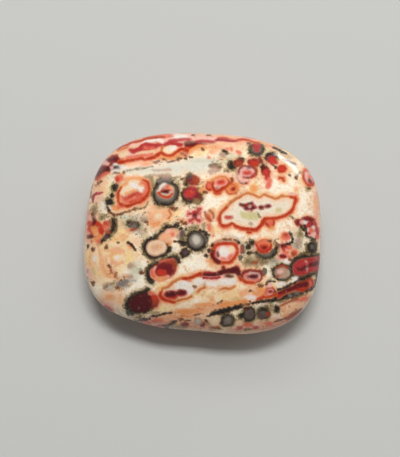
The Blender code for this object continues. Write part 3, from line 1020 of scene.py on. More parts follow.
faceMarkings["redRingOrb"] = {
    "brick": [
        patch(17, -41, 19, -30, 27, -22, 42, -18.5, 58, -20, 69, -27, 72, -38, 68, -50, 58, -60,
            42, -63.5, 27, -61, 19, -53),
    ],
    "glowBeige": [trail((2.5, 3.5, 3.5, 2.5), 26, -21, 38, -17.5, 52, -17, 64, -20.5)],
    "shellPink": [
        patch(26, -40, 28, -32, 35, -27, 46, -26, 59, -28, 65, -34, 65, -43, 59, -51, 49, -57, 37, -57,
            28, -50),
    ],
    "glowMaroon": [
        trail((3, 5, 6, 5, 3.5), 23, -31, 19, -40, 20, -50, 26, -57, 36, -61), trail(3, 29.5, -42, 31, -49),
    ],
    "glowPink": [oval(73, -35, 2, 6), oval(36, -52, 5, 2, -20)],
    "glowCream": [oval(58, -35, 5, 5.5)],
    "glowWhite": [oval(43.5, -39.5, 9, 8.5)],
    "glowCoral": [oval(55, -49, 5.5, 2, 35), oval(42, -54, 3, 1.2)],
    "lineRed": [
        trail((3, 3.5, 4, 4, 3.5, 3.5), 22, -32, 30, -24.5, 45, -22, 60, -24, 68.5, -32, 70, -41),
        trail((3.5, 3.5, 4, 4), 70, -41, 64, -51, 54, -59, 40, -62),
    ],
    "dotBrown": [oval(53, -14.5, 2.5, 1.2), oval(66, -18.5, 4, 1.5, -35), oval(43, -14, 3, 1)],
    "glowOrange": [oval(17, -58, 3, 3.5)],
    "hazeOrange": [oval(22, -65, 9, 4), oval(13, -56, 5, 6), oval(46, -69, 18, 3)],
    "hazeGrey": [trail((5, 7, 8, 7), 44, -12, 62, -15, 77, -24, 81, -40), trail(4, 9, -30, 7, -46)],
    "dotInk": [
        oval(19, -25, 2.2, 3, -30), oval(12.5, -36, 2.2, 3.5), oval(8, -47, 2.8, 2.5),
        oval(71, -22, 2.5, 2),
    ],
    "mossOlive": [oval(79, -40, 9, 20), oval(12, -38, 6, 14), oval(69, -20, 8, 4)],
    "slate": [oval(79, -34, 3.5, 8), oval(76, -52, 2.5, 4.5)],
    "glowRust": [oval(78.5, -34, 1.5, 5)],
}

faceMarkings["longAgate"] = {
    "shellPale": [
        patch(-56, -99, -42, -95, -28, -97, -10, -90, 10, -90, 40, -88, 66, -83, 71, -95, 62, -108,
            30, -112, 6, -110, -10, -115, -22, -125, -34, -131, -50, -135, -72, -133, -80, -122,
            -72, -112, -62, -106),
    ],
    "glowWhite": [
        oval(-39, -105, 15, 5.5, 5), oval(-6, -99, 10, 4.5), oval(50, -100, 15, 5), oval(20, -105, 10, 3),
        oval(-27, -118, 8, 5),
    ],
    "hazeBlush": [oval(-56, -123, 24, 10), oval(20, -96, 24, 3)],
    "glowPink": [
        trail((8, 11, 11, 8), -75, -127, -62, -125, -48, -122, -36, -123),
        trail(3.5, 6, -93, 22, -95, 36, -92, 52, -94),
    ],
    "maroon": [
        trail((5, 8, 9, 10, 9, 10, 11, 10, 9, 5), -4, -86, 10, -86.5, 24, -87, 34, -84, 42, -80, 52, -79,
            62, -77, 68, -76, 71, -84, 76, -92),
        oval(67, -72, 2.5, 3), oval(42, -72, 2.5), oval(54, -88.5, 6.5, 2.2),
    ],
    "lineRed": [
        trail((4, 5.5, 6, 5.5), -40, -94, -24, -91.5, -13, -87.5, -4, -84),
        trail((5, 6, 6, 4.5, 3.5), -83, -120, -84, -127, -79, -134, -68, -138, -56, -140),
        trail(3, 74, -90, 78, -95),
    ],
    "glowCrimson": [trail((3, 4, 3), 4, -82, 14, -81, 24, -83)],
    "lineCrimson": [trail((3, 4, 4, 3.5), 3, -91, 14, -92.5, 24, -92, 34, -90)],
    "lineOchre": [
        trail((3, 3, 3, 3, 3, 3.5), -82, -119, -79, -113, -69, -110, -62, -103, -52, -96, -40, -93),
        trail(3.5, -40, -93, -30, -93.5),
        trail((3.5, 3.5, 3, 3), -56, -140, -44, -136, -30, -133, -22, -129),
        trail((2.5, 2.5, 3), -10, -119, -4, -114, 5, -111),
        trail((2, 2.5, 2, 1.5), 36, -115, 47, -114, 56, -113, 64, -109),
    ],
    "glowMaroon": [
        trail((3, 4.5, 5, 6, 7, 8, 9, 8, 6, 4), -4, -85, 10, -85, 24, -85, 34, -82, 42, -79, 52, -78,
            62, -76, 68, -76, 71, -83, 75, -90),
        oval(54, -88.5, 7, 2.2), oval(-63, -124, 11.5, 5, 8), oval(-43, -121, 9, 4.2, 8),
        oval(-53, -122, 5, 2.5),
    ],
    "glowRust": [oval(-58, -130, 6, 2)],
    "glowRed": [oval(-62, -125, 15, 7.5, 8), oval(-43, -122, 12, 6, 8)],
    "glowCoral": [trail(2, -72, -131, -58, -134), oval(-26, -97, 3, 1)],
    "dotBrown": [oval(-17, -108.5, 3, 2)],
    "glowBeige": [trail(1.2, 3, -96, 4, -104, 3, -110)],
    "glowMoss": [oval(-16, -123, 3, 2)],
    "hazeYellow": [oval(-83, -106, 9)],
    "hazeOrange": [oval(-86, -116, 6), oval(20, -135, 6, 5)],
}

faceMarkings["rightMiddle"] = {
    "hazePeach": [oval(162, -10, 9, 11), oval(85, -63, 6, 5), oval(103, -63, 7, 4), oval(174, -38, 12, 8)],
    "hazeOrange": [
        oval(123, -16, 15, 5), oval(104, -60, 6, 4), oval(184, -41, 9, 7), oval(162, -12, 8, 9),
        oval(170, -36, 7, 5),
    ],
    "lineInk": [trail((2, 3.5, 3.5, 3.5, 2.5), 174, -1, 179, -8, 180, -16, 175, -22, 169, -24)],
    "mossOlive": [
        oval(178, -12, 8, 14), oval(124, -44, 29, 12), oval(93, -36, 12, 16), oval(149, -20, 8, 6),
        oval(150, -60, 10), oval(106, -59, 20, 9),
    ],
    "mossInk": [oval(93, -35, 9, 15), oval(128, -48, 22, 7), oval(148, -20, 6, 5)],
    "brick": [oval(122, -28, 16, 13)],
    "glowOrange": [oval(123, -24, 10, 7)],
    "glowCoral": [
        oval(167, -8.5, 9, 7.5), trail(3, 112, -22, 122, -18, 132, -20), oval(175, -30, 4, 2.5),
        oval(184, -41, 6, 5), oval(167, -42, 4, 2.5), oval(173, -50, 3.5, 2),
    ],
    "glowPink": [oval(169, -13, 4.5, 2), oval(103.5, -33, 1.2, 4)],
    "glowRust": [oval(166, -6, 3.5, 2), oval(183, -43, 4, 3.5), oval(106, -62, 4, 2)],
    "crimson": [oval(165, -28, 6, 3), oval(160, -49, 5.5, 3), trail(2.5, 162, -30, 163, -36)],
    "mossRust": [
        patch(150, -16, 170, -26, 189, -36, 189, -50, 168, -54, 152, -52, 150, -32), oval(108, -61, 14, 7),
    ],
    "ink": [
        oval(100, -23, 4, 3.5), oval(91, -29, 2.2, 3), oval(92, -42, 3, 2.5),
        trail((5, 7, 8, 8, 5), 108, -43, 119, -48, 133, -48, 144, -41, 148, -31),
    ],
    "glowRed": [oval(123, -29, 7.5, 5)],
    "glowMaroon": [oval(124, -30.5, 3, 1.8), oval(163, -26, 4, 2.5), oval(160, -48, 4, 2)],
    "slate": [trail((3, 5, 5, 3), 112, -43, 124, -46, 136, -43, 142, -36)],
    "hazeGrey": [oval(134, -57, 24, 8), oval(142, -24, 7, 6), oval(190, -26, 9, 12)],
    "hazeSage": [oval(140, -68, 10, 9), oval(186, -6, 7, 8)],
    "hazeOlive": [patch(82, -50, 100, -52, 126, -55, 130, -65, 115, -70, 95, -69, 82, -68)],
    "dotBrown": [trail((3.5, 2.5), 145, -18, 154, -27), oval(175, -55, 2.5, 2), oval(135, -18, 4, 1.5)],
    "glowWhite": [oval(168, -59, 6, 3.5)],
}

faceMarkings["rightEdge"] = {
    "ink": [oval(219, -31, 11.5, 11)],
    "slate": [oval(219, -30, 3)],
    "glowWhite": [oval(212, 4, 2.5, 2), oval(206, 18, 2, 1.5), oval(223, 9, 2, 1.5)],
    "mossInk": [oval(218, -31, 15, 14), trail(6, 204, 14, 208, 2, 209, -8, 220, -14)],
    "mossOlive": [oval(214, -31, 18), oval(204, 4, 10, 16), oval(196, -16, 10, 14)],
    "maroon": [
        oval(193, 19, 7, 6), trail((6, 9, 8), 201, 24, 210, 26, 220, 23), oval(222, 14, 4),
        oval(216, 16, 7, 5), oval(206, 13, 3, 4),
    ],
    "crimson": [
        oval(210, 13, 6, 5), trail((4, 5, 5, 4), 225, 18, 228, 8, 229, 0, 228, -10), oval(216, 1, 5, 4),
    ],
    "glowPink": [oval(200, 20, 3, 2.5), oval(222, -3, 4, 3.5)],
    "glowCoral": [oval(218, 4, 4, 3.5), oval(230, -12, 2, 3)],
    "mossRose": [oval(214, 18, 16, 12), oval(228, -2, 8, 12)],
    "hazeOlive": [oval(196, -6, 6), oval(201, 7, 6, 4)],
    "lineInk": [
        trail((2.5, 3, 3.5, 3, 3), 205, 13, 208, 1, 209, -8, 215, -12, 224, -16),
        trail(2.5, 197, 10, 203, 5),
    ],
    "glowBeige": [oval(194, -20, 4, 6)],
}

faceMarkings["nearRightRed"] = {
    "ink": [
        trail((4.5, 5, 5, 5, 4.5, 4), 180, -79, 179, -67, 185, -56, 198, -50, 214, -49, 232, -47),
        trail((3, 3.5, 3.5, 3), 184, -88, 196, -92, 214, -86, 228, -80),
    ],
    "mossInk": [
        trail(8, 178, -84, 176, -66, 184, -52, 200, -47, 228, -45), trail(5, 184, -90, 200, -92, 224, -84),
    ],
    "mossOlive": [trail(12, 174, -74, 180, -54, 200, -46)],
    "maroon": [
        patch(183, -78, 183, -66, 191, -58, 206, -55, 228, -50, 236, -53, 235, -74, 216, -80, 200, -86,
            188, -86),
    ],
    "crimson": [
        trail(2.8, 188, -83, 185, -77, 186, -68, 193, -61, 207, -58, 228, -53, 234, -55),
        trail(3, 192, -83, 202, -81, 216, -76, 232, -71),
    ],
    "glowCrimson": [
        trail((2, 3, 3.5, 3, 2), 208, -64, 200, -63, 193, -69, 196, -77, 206, -77),
        trail(2, 214, -72, 226, -69), oval(217, -63, 6, 1.6, 15),
    ],
    "glowMaroon": [
        trail((2, 4.5, 5, 3), 209, -69, 216, -66, 224, -63, 230, -62),
        trail((1.5, 3, 2), 191, -72, 197, -76, 204, -75),
    ],
    "glowPink": [trail(1.5, 207, -61, 210, -68, 207, -76)],
}

faceMarkings["nearRightOliveOrb"] = {
    "ink": [oval(159, -81, 19, 15)],
    "mossOlive": [oval(159, -80, 24, 20)],
    "mossInk": [oval(154, -72, 18, 10)],
    "slate": [oval(160, -81, 15.5, 12)],
    "glowBeige": [oval(160, -82, 12.5, 9.5)],
    "glowCream": [oval(162, -81, 9, 6)],
    "glowPink": [oval(156, -79, 3.5, 2.2)],
    "glowRust": [trail(2, 149, -72, 160, -68, 169, -72), oval(152, -88, 3, 1)],
}

faceMarkings["nearRightRedRing"] = {
    "maroon": [
        patch(79, -86, 83, -79, 96, -76, 112, -77, 120, -84, 118, -94, 108, -101, 92, -102, 81, -96),
    ],
    "glowPink": [oval(100, -89.5, 15, 8.5)],
    "glowCoral": [trail(3, 88, -95, 100, -98.5, 112, -94), oval(88, -87, 2.5, 3)],
    "glowMaroon": [oval(101, -88.5, 10, 3.5, 3)],
    "lineRed": [trail(3, 82, -97, 92, -101.5, 104, -101.5)],
    "slate": [oval(123, -79, 3.5, 6)],
    "mossOlive": [oval(123, -80, 8, 10)],
    "glowCrimson": [oval(102, -88.5, 4, 1.2)],
}

faceMarkings["nearLeft"] = {
    "hazeGrey": [oval(-160, -102, 18, 11, 15), oval(-138, -96, 7, 3)],
    "mossInk": [
        oval(-162, -103, 11, 7),
        trail(8, -108, -114, -124, -120, -142, -128, -152, -138, -153, -152, -144, -164),
    ],
    "mossOlive": [
        oval(-159, -102, 19, 12), oval(-183, -104, 12, 5), oval(-166, -112, 9, 5), oval(-93, -161, 10, 5),
        oval(-128, -170, 12, 4),
    ],
    "glowGrey": [oval(-162, -104, 7, 4.5), oval(-154, -98, 4, 3)],
    "glowBeige": [oval(-189, -109, 10, 6)],
    "glowPearl": [oval(-186, -110, 5, 2.5)],
    "dotBrown": [oval(-169, -111, 4, 1.2)],
    "lineOlive": [trail(1.5, -196, -112, -188, -106, -179, -103), oval(-128, -170, 6, 2)],
    "hazeOrange": [oval(-185, -130, 9, 6), oval(-165, -115, 5, 3)],
    "crimson": [trail((3, 4, 3), -194, -149, -189, -153, -183, -157)],
    "hazeBlush": [oval(-188, -146, 10, 6)],
    "ink": [
        patch(-149, -133, -134, -124, -118, -119, -106, -123, -99, -136, -103, -153, -118, -161,
            -138, -160, -150, -152, -152, -142),
        trail((3.5, 5, 6), -109, -114, -115, -119, -124, -122),
        trail((7, 6, 4), -150, -146, -147, -156, -141, -163),
    ],
    "glowMaroon": [
        patch(-146, -138, -132, -128, -117, -124, -107, -128, -102, -142, -108, -154, -120, -159,
            -134, -158, -145, -150),
    ],
    "glowCrimson": [oval(-114, -134, 2, 7, 20), oval(-132, -152, 6, 1.5), oval(-122, -133, 1.2, 5, 30)],
    "glowMauve": [oval(-129, -144, 3, 5, 30)],
    "maroon": [oval(-99, -139, 9.5, 12)],
    "glowRed": [oval(-97, -132, 5, 4.5)],
    "glowRust": [oval(-96, -136, 8, 9)],
    "glowCoral": [oval(-101, -123, 7, 4), oval(-86, -134, 3, 6)],
    "hazePeach": [oval(-165, -135, 12, 15)],
    "hazeYellow": [oval(-86, -150, 8, 5)],
    "glowOlive": [oval(-93, -161, 5, 2)],
    "lineInk": [
        trail((2.5, 3, 3, 3, 2.5, 3, 2), -135, -177, -120, -176, -108, -173, -102, -169, -88, -167,
            -78, -163, -73, -162),
        trail(2, -66, -162, -62, -160), trail(2.5, -152, -161, -148, -166),
    ],
}

faceMarkings["nearLeftRim"] = {
    "hazeBlush": [oval(-124, -184, 7, 4), oval(-96, -186, 16, 4)],
    "mossRose": [patch(-120, -179, -80, -173, -54, -172, -60, -190, -100, -192)],
    "hazeOlive": [oval(-50, -189, 14, 3), oval(12, -183, 5)],
    "glowCoral": [oval(-112, -181, 8, 3.5, -5), oval(-90, -177, 10, 3)],
    "glowRust": [trail(3, -118, -186, -96, -189, -78, -188)],
    "glowPeach": [oval(-70, -174, 16, 4, 5)],
    "glowBeige": [oval(-124, -183, 4, 3), oval(-67, -189, 8, 3), oval(-10, -179, 8, 6)],
    "lineInk": [trail((2, 3, 2.5), -78, -188, -64, -184, -53, -180)],
    "mossInk": [trail(5, -80, -189, -64, -185, -52, -179), oval(-36, -187, 10, 6)],
    "dotInk": [oval(-72, -191, 3.5, 1.5)],
    "dotBrown": [oval(-43, -175, 3.5, 1.5, 10), oval(-30, -178, 4, 1.2)],
    "maroon": [oval(-35, -185.5, 6, 3.5), oval(0, -185.5, 4.5, 4)],
    "hazeOrange": [oval(-50, -185, 4, 6), oval(-34, -168, 16, 6), oval(-66, -170, 14, 5)],
    # rust specks of the stone, laid over the whole bottom-left rim partly as painted shade where it turns
    # down from the lamps
    "mossRust": [
        patch(-124, -180, -90, -176, -50, -168, -10, -166, 10, -176, 0, -194, -40, -196, -90, -192),
    ],
}

faceMarkings["nearBand"] = {
    "hazeYellow": [oval(0, -125, 14, 5)],
    "hazeOrange": [
        trail((9, 13, 16, 17, 15, 12, 10), -54, -159, -30, -158, -5, -154, 20, -150, 45, -145, 70, -140,
            90, -139),
        oval(68, -135, 7, 5), oval(80, -125, 6, 5), oval(87, -119, 5, 7),
    ],
    "glowOrange": [
        trail((3, 5, 3), -14, -147, 0, -146, 14, -143), trail((5, 7, 5), -46, -158, -26, -159, -10, -157),
        trail((6, 8, 7), 40, -148, 64, -142, 86, -139),
    ],
    "glowCream": [
        oval(30, -132, 6), oval(4, -140, 9, 2.5, 10), oval(62, -138, 8, 2, 10), oval(-34, -150, 9, 2.5, 5),
    ],
    "glowPeach": [trail((3, 5, 3), -6, -161, 14, -154, 32, -150), oval(74, -142, 7, 2.5, 10)],
    "glowMoss": [oval(63, -136, 4, 1.5), oval(71, -134, 4, 1.5)],
    "mossRust": [trail(12, -50, -162, 0, -158, 40, -148, 90, -141), oval(-6, -165, 10, 4)],
    "dotBrown": [
        trail((2, 2.5), 30, -143, 38, -138), oval(117, -106, 4, 2.8), oval(95, -117, 2.2),
        trail(3, 83, -146, 94, -144), trail(2, -16, -166, -4, -163),
    ],
    "lineInk": [
        trail((3.5, 7, 9, 9, 8, 5), 12, -169, 24, -163, 40, -159, 55, -155, 70, -150, 80, -146),
        trail((3, 4.5, 4.5, 4, 4.5), 100, -143, 110, -139.5, 124, -138.5, 136, -139, 146, -134),
    ],
    "mossOlive": [trail(16, 16, -166, 40, -159, 70, -150, 94, -144), oval(116, -106, 8, 5)],
    "mossInk": [
        trail(14, 12, -169, 40, -160, 70, -151, 84, -146), trail(6, 100, -142, 124, -139, 146, -134),
    ],
}

faceMarkings["nearRowOfOrbs"] = {
    "ink": [
        oval(49, -177, 12, 11), oval(93, -164, 11.5, 13.5), oval(122, -162, 11.5, 10.5),
        oval(150, -154, 4, 6.5), oval(79, -168, 4, 3.5),
    ],
    "mossInk": [oval(46, -172, 16, 14), oval(92, -162, 16), oval(123, -160, 14)],
    "mossOlive": [oval(64, -170, 10, 14), oval(138, -160, 9, 14), oval(108, -170, 8, 10)],
    "shellCream": [oval(24, -176, 9.5, 11), oval(72, -182, 7, 5)],
    "slate": [oval(50, -177, 9, 8), oval(93, -164, 8, 9), oval(120, -165, 7.5, 7)],
    "glowGrey": [oval(49, -178, 5, 4.5)],
    "glowMauve": [oval(94, -164, 5), oval(119, -166, 5, 4)],
    "glowMaroon": [oval(88, -153, 4.5, 2.5)],
    "glowCoral": [oval(90, -185, 9, 3), oval(133, -184, 7, 2.5)],
    "glowCrimson": [oval(74, -191, 5, 2), oval(105, -191, 5, 2)],
    "glowRust": [oval(131, -164, 3.5, 4), oval(26, -191, 7, 1.5)],
    "dotBrown": [oval(7, -178, 3.5, 2), oval(27, -193, 7, 1.2)],
    "glowPearl": [oval(-10, -179.5, 3, 2.5)],
    "hazeOrange": [oval(27, -192, 10, 3)],
    "lineOlive": [oval(90, -195, 6, 1.5)],
    "chalkAndHighlight": [oval(124, -145, 9, 3.5), oval(109, -151, 4)],
    "mossRust": [oval(105, -186, 40, 7), oval(70, -192, 20, 4)],
}

faceMarkings["nearRightMiddle"] = {
    "brick": [oval(135, -120, 9.5, 8.5)],
    "glowCoral": [trail(3.5, 114, -133, 124, -126, 129, -118)],
    "glowPink": [oval(135, -120.5, 6, 5), oval(100, -130, 10, 3), oval(134, -106, 4, 5)],
    "glowRed": [oval(135, -120, 2.8, 2.4)],
    "glowMaroon": [oval(135, -120, 1.2), oval(144, -122, 2)],
    "glowOrange": [oval(122, -124, 4, 8, 20), oval(116, -114, 6, 4), trail(3.5, 100, -120, 114, -128)],
    "lineInk": [trail((2.5, 3, 3), 128, -105, 132, -98, 143, -99)],
    "mossOlive": [oval(134, -102, 9, 7), oval(144, -142, 10, 5)],
    "glowWhite": [oval(96, -130, 8, 2.5), oval(186, -94, 6, 3.5), oval(158, -105, 8, 3.5)],
    "hazeYellow": [oval(156, -104, 11, 5)],
    "lineRed": [trail((3, 3.5, 3, 3.5), 110, -134, 122, -130, 132, -131, 146, -126)],
    "mossRust": [oval(126, -124, 16, 10)],
}

faceMarkings["nearRightBands"] = {
    "brick": [
        patch(144, -129, 156, -120, 174, -111.5, 192, -102.5, 206, -95, 218, -94, 221, -102, 216, -113,
            204, -117, 186, -116, 168, -123, 152, -131),
    ],
    "glowMaroon": [trail((3, 5, 6, 6), 154, -123, 170, -117, 186, -110, 202, -105), oval(206, -105, 6, 5)],
    "glowCoral": [oval(213, -103, 3, 3.5, -30), oval(202, -134, 8, 3, 15)],
    "ink": [trail((5, 6.5, 7, 6, 4), 146, -135, 160, -130.5, 175, -127, 190, -122, 200, -119)],
    "lineInk": [
        trail((2.5, 4, 4, 4, 3, 2.5), 152, -116, 170, -109, 186, -101, 195, -96, 206, -91.5, 216, -89),
        trail((3, 3.5, 4, 3), 228, -86, 226, -100, 221, -112, 208, -119),
    ],
    # painted glints: two grey-blue highlights on the black band
    "glowGrey": [oval(175, -127.5, 2.5, 1.2), oval(188, -122, 3, 1)],
    "hazeOrange": [oval(162, -152, 5, 11), oval(196, -129, 10, 3, 15), oval(168, -168, 9, 5)],
    "glowPeach": [oval(161, -150, 3.5, 7)],
    "hazePeach": [oval(185, -150, 14, 8, 25)],
    # the first trail, over the near-right rim, is painted shade where the rim turns down from the light
    "glowRust": [
        trail((4, 8, 7, 3), 168, -174, 178, -168, 188, -161, 198, -154),
        trail((3, 4, 3), 196, -99, 208, -95, 218, -96), trail((2, 3, 2.5), 156, -146, 175, -139, 190, -133),
    ],
    # the first oval, on the near-right rim, is painted shade where the rim turns down from the light
    "mossInk": [
        oval(184, -164, 14, 5, 38), trail(8, 152, -115, 172, -107, 196, -95, 216, -87),
        trail(10, 146, -136, 174, -129, 200, -120), trail(6, 227, -90, 222, -112, 208, -121),
    ],
    "dotBrown": [trail((2, 3), 145, -179, 166, -172)],
    "mossRust": [
        oval(170, -144, 26, 7, 25), trail(8, 120, -188, 150, -182, 176, -170), oval(203, -132, 14, 6, 20),
    ],
    "mossOlive": [oval(144, -150, 7, 10)],
    "glowOlive": [oval(139, -149, 2, 5)],
}


# The fields: for every paint, each mesh point's distance in mm to the nearest marking of that paint

fieldRules = {
    "low": -2.0,  # distances are kept between these
    "high": 1.0,
    "sideReach": 2.2,  # how much deeper a marking goes along the view than it is wide
    "wobble": ((2.6, 0.13, 20, 30), (1.1, 0.07, 21, 31)),  # of the outlines: length, height, seeds
    "curveSteps": 4,  # pieces of a curve from one place to the next
    "thinnest": 0.1,
    "grow": 0.08,  # every marking is this much wider than written
    "fadeFacing": 0.12,  # where the surface turns from the camera, the photographed markings end
    "fadeRate": 6,  # how fast they end there
}


def onRamp(distance):
    # a distance as the share of the ramp's span
    return (distance - fieldRules["low"]) / (fieldRules["high"] - fieldRules["low"])


def faceCoordinates(points):
    # perspective as the camera sees it: right, up, and height toward the camera, in mm
    away = cameraPlace - points
    depth = away @ toCamera
    right = -(away @ toRight) * cameraDistance / depth + offCentre[0]
    up = -(away @ toTop) * cameraDistance / depth - offCentre[1]
    return np.stack((right, up, cameraDistance - depth), -1)


def wobbled(places, points):
    # face coordinates shifted by smooth waves, so that outlines wander as they do in stone
    moved = places.copy()
    for length, height, *seeds in fieldRules["wobble"]:
        for axis, seed in enumerate(seeds):
            moved[:, axis] += height * waves(points, length, seed)
    return moved


def smoothPath(places, widths):
    # Catmull-Rom curve through the places, with its widths
    rows = np.column_stack((np.array(places, float), np.broadcast_to(widths, len(places))))
    padded = np.vstack((2 * rows[0] - rows[1], rows, 2 * rows[-1] - rows[-2]))
    t = np.arange(fieldRules["curveSteps"])[:, None] / fieldRules["curveSteps"]
    pieces = []
    for a, b, c, d in zip(padded, padded[1:], padded[2:], padded[3:]):
        bend, twist = 2 * a - 5 * b + 4 * c - d, 3 * b - a - 3 * c + d
        pieces.append(0.5 * (2 * b + (c - a) * t + bend * t**2 + twist * t**3))
    curve = np.vstack((*pieces, rows[-1:]))
    return curve[:, :-1], np.maximum(curve[:, -1], fieldRules["thinnest"])


def ovalDistance(places, middle, halves, turn):
    # ellipsoid about its middle, by how far the point lies out and how fast that changes there
    angle = math.radians(turn)
    offset = places - middle
    along = offset[:, 0] * math.cos(angle) + offset[:, 1] * math.sin(angle)
    across = offset[:, 1] * math.cos(angle) - offset[:, 0] * math.sin(angle)
    local = np.stack((along, across, offset[:, 2]), -1)
    out = np.linalg.norm(local / halves, axis=1)
    rate = np.linalg.norm(local / halves**2, axis=1)
    return np.where(rate > tiny, out * (out - 1) / np.maximum(rate, tiny), -halves.min())


def trailDistance(places, curve, widths):
    # nearest of the line's segments, each as wide as its place along the line
    best = np.full(len(places), np.inf)
    for start, end, first, last in zip(curve, curve[1:], widths, widths[1:]):
        step = end - start
        share = np.clip((places - start) @ step / max(step @ step, tiny), 0, 1)
        gap = np.linalg.norm(places - start - share[:, None] * step, axis=1)
        best = np.minimum(best, gap - (first + (last - first) * share) / 2)
    return best


def patchDistance(places, outline):
    # distance to the outline, negative inside by the crossings of a level ray
    flat = places[:, :2]
    inside = np.zeros(len(flat), bool)
    for start, end in zip(outline, np.roll(outline, -1, 0)):
        crosses = (start[1] > flat[:, 1]) != (end[1] > flat[:, 1])
        rise = end[1] - start[1]
        rise = rise if abs(rise) > tiny else tiny
        at = start[0] + (flat[:, 1] - start[1]) * (end[0] - start[0]) / rise
        inside ^= crosses & (flat[:, 0] < at)
    closed = np.vstack((outline, outline[:1]))
    gap = trailDistance(flat, closed, np.zeros(len(closed)))
    return np.where(inside, -gap, gap)


def addFaceMarkings(fields, places, facing):
    # every face marking into its paint's field: the least distance of any marking of that paint
    rules = fieldRules
    seen = np.flatnonzero(facing > 0)

    def onSurface(spots):
        # the height toward the camera of the surface point that shows at each spot
        spots = np.array(spots, float)
        nearest = [seen[np.argmin(((places[seen, :2] - spot) ** 2).sum(1))] for spot in spots]
        return np.column_stack((spots, places[nearest, 2]))

    flatten = np.array((1, 1, 1 / rules["sideReach"]))
    fade = rules["fadeRate"] * np.maximum(0, rules["fadeFacing"] - facing)
    for marks in faceMarkings.values():
        for name, shapes in marks.items():
            field = fields[name]
            for kind, spots, size, *turn in shapes:
                if kind == "oval":
                    middle = onSurface([spots])[0]
                    reach = max(size) + rules["high"]
                    near = np.flatnonzero((np.abs(places - middle)[:, :2] < reach).all(1))
                    halves = np.array((*size, rules["sideReach"] * max(size)))
                    distance = ovalDistance(places[near], middle, halves, turn[0])
                else:
                    widths = size if kind == "trail" else rules["thinnest"]
                    looped = spots if kind == "trail" else (*spots, spots[0])
                    curve, widths = smoothPath(looped, widths)
                    low = curve.min(0) - widths.max() / 2 - rules["high"]
                    high = curve.max(0) + widths.max() / 2 + rules["high"]
                    near = np.flatnonzero(((places[:, :2] > low) & (places[:, :2] < high)).all(1))
                    if kind == "trail":
                        distance = trailDistance(places[near] * flatten, onSurface(curve) * flatten, widths)
                    else:
                        distance = patchDistance(places[near], curve[:-1])
                field[near] = np.minimum(field[near], distance + fade[near] - rules["grow"])


# The markings that the photograph doesn't show, down the sides and underneath: drawn at random

hiddenMarkings = {
    "seed": 12,
    "direction": (0.94, 0.34, 0.05),  # the bands and the longer orbs run this way
    "edgeFacing": 0.02,  # where the surface turns to the camera, the hidden markings end
    "overlap": 0.05,  # how far past that edge their middles may lie
    "turn": (-25, 25),  # degrees from the direction
    "depth": 2.0,  # how much deeper an oval goes than it is wide
    "reach": 2.2,  # mesh points are measured this far out, beside the oval's length
    "orbs": {"tries": 2600, "size": (0.8, 2.5), "stretch": (1.0, 1.7), "gap": 0.35},
    "clouds": {"tries": 130, "size": (1.4, 4.2), "stretch": (1.0, 2.2), "gap": -3.0},
    "spots": {"tries": 420, "size": (0.14, 0.34), "stretch": (1.0, 2.0), "gap": 0.5},
    "bands": {"count": 9, "steps": (5, 12), "step": 2.2, "stray": 0.25, "width": (0.35, 1.1)},
    "orbRecipes": (  # paints from the outside in, and how large each is beside the orb
        (("mossOlive", 1.35), ("brick", 1.0), ("shellPink", 0.74), ("glowWhite", 0.42)),
        (("mossInk", 1.25), ("maroon", 1.0), ("glowPink", 0.68), ("glowRed", 0.36), ("glowMaroon", 0.15)),
        (("mossOlive", 1.6), ("mossInk", 1.3), ("ink", 1.0), ("slate", 0.76), ("glowGrey", 0.6),
         ("glowPearl", 0.36)),
        (("mossOlive", 1.5), ("mossInk", 1.3), ("ink", 1.0), ("shellPeach", 0.78), ("glowPeach", 0.3)),
        (("mossInk", 1.3), ("maroon", 1.0), ("glowCrimson", 0.6)),
        (("brick", 1.0), ("shellPale", 0.78), ("glowCoral", 0.3)),
        (("mossInk", 1.3), ("ink", 1.0), ("brick", 0.8), ("glowRed", 0.5)),
        (("crimson", 1.0), ("glowRed", 0.55)),
        (("hazeOrange", 1.1), ("glowOrange", 0.55)),
    ),
    "cloudPaints": (
        "zoneCream", "zoneGold", "zonePeach", "zonePeach", "zoneSalmon", "zoneCream", "hazeYellow",
        "hazeOrange", "hazeSage", "mossOlive", "mossOlive", "mossRust", "hazeBlush", "hazePeach",
    ),
    "spotPaints": ("dotInk", "dotBrown", "glowRust", "glowCoral", "dotBrown"),
    "bandRecipes": (
        (("hazeOrange", 2.2), ("lineRed", 1.0)),
        (("mossInk", 2.0), ("mossOlive", 2.6), ("ink", 1.0)),
        (("hazeOrange", 1.6), ("mossRust", 1.2)),
        (("hazePeach", 2.0), ("lineOchre", 0.8)),
        (("maroon", 1.0), ("glowRed", 0.4)),
    ),
}


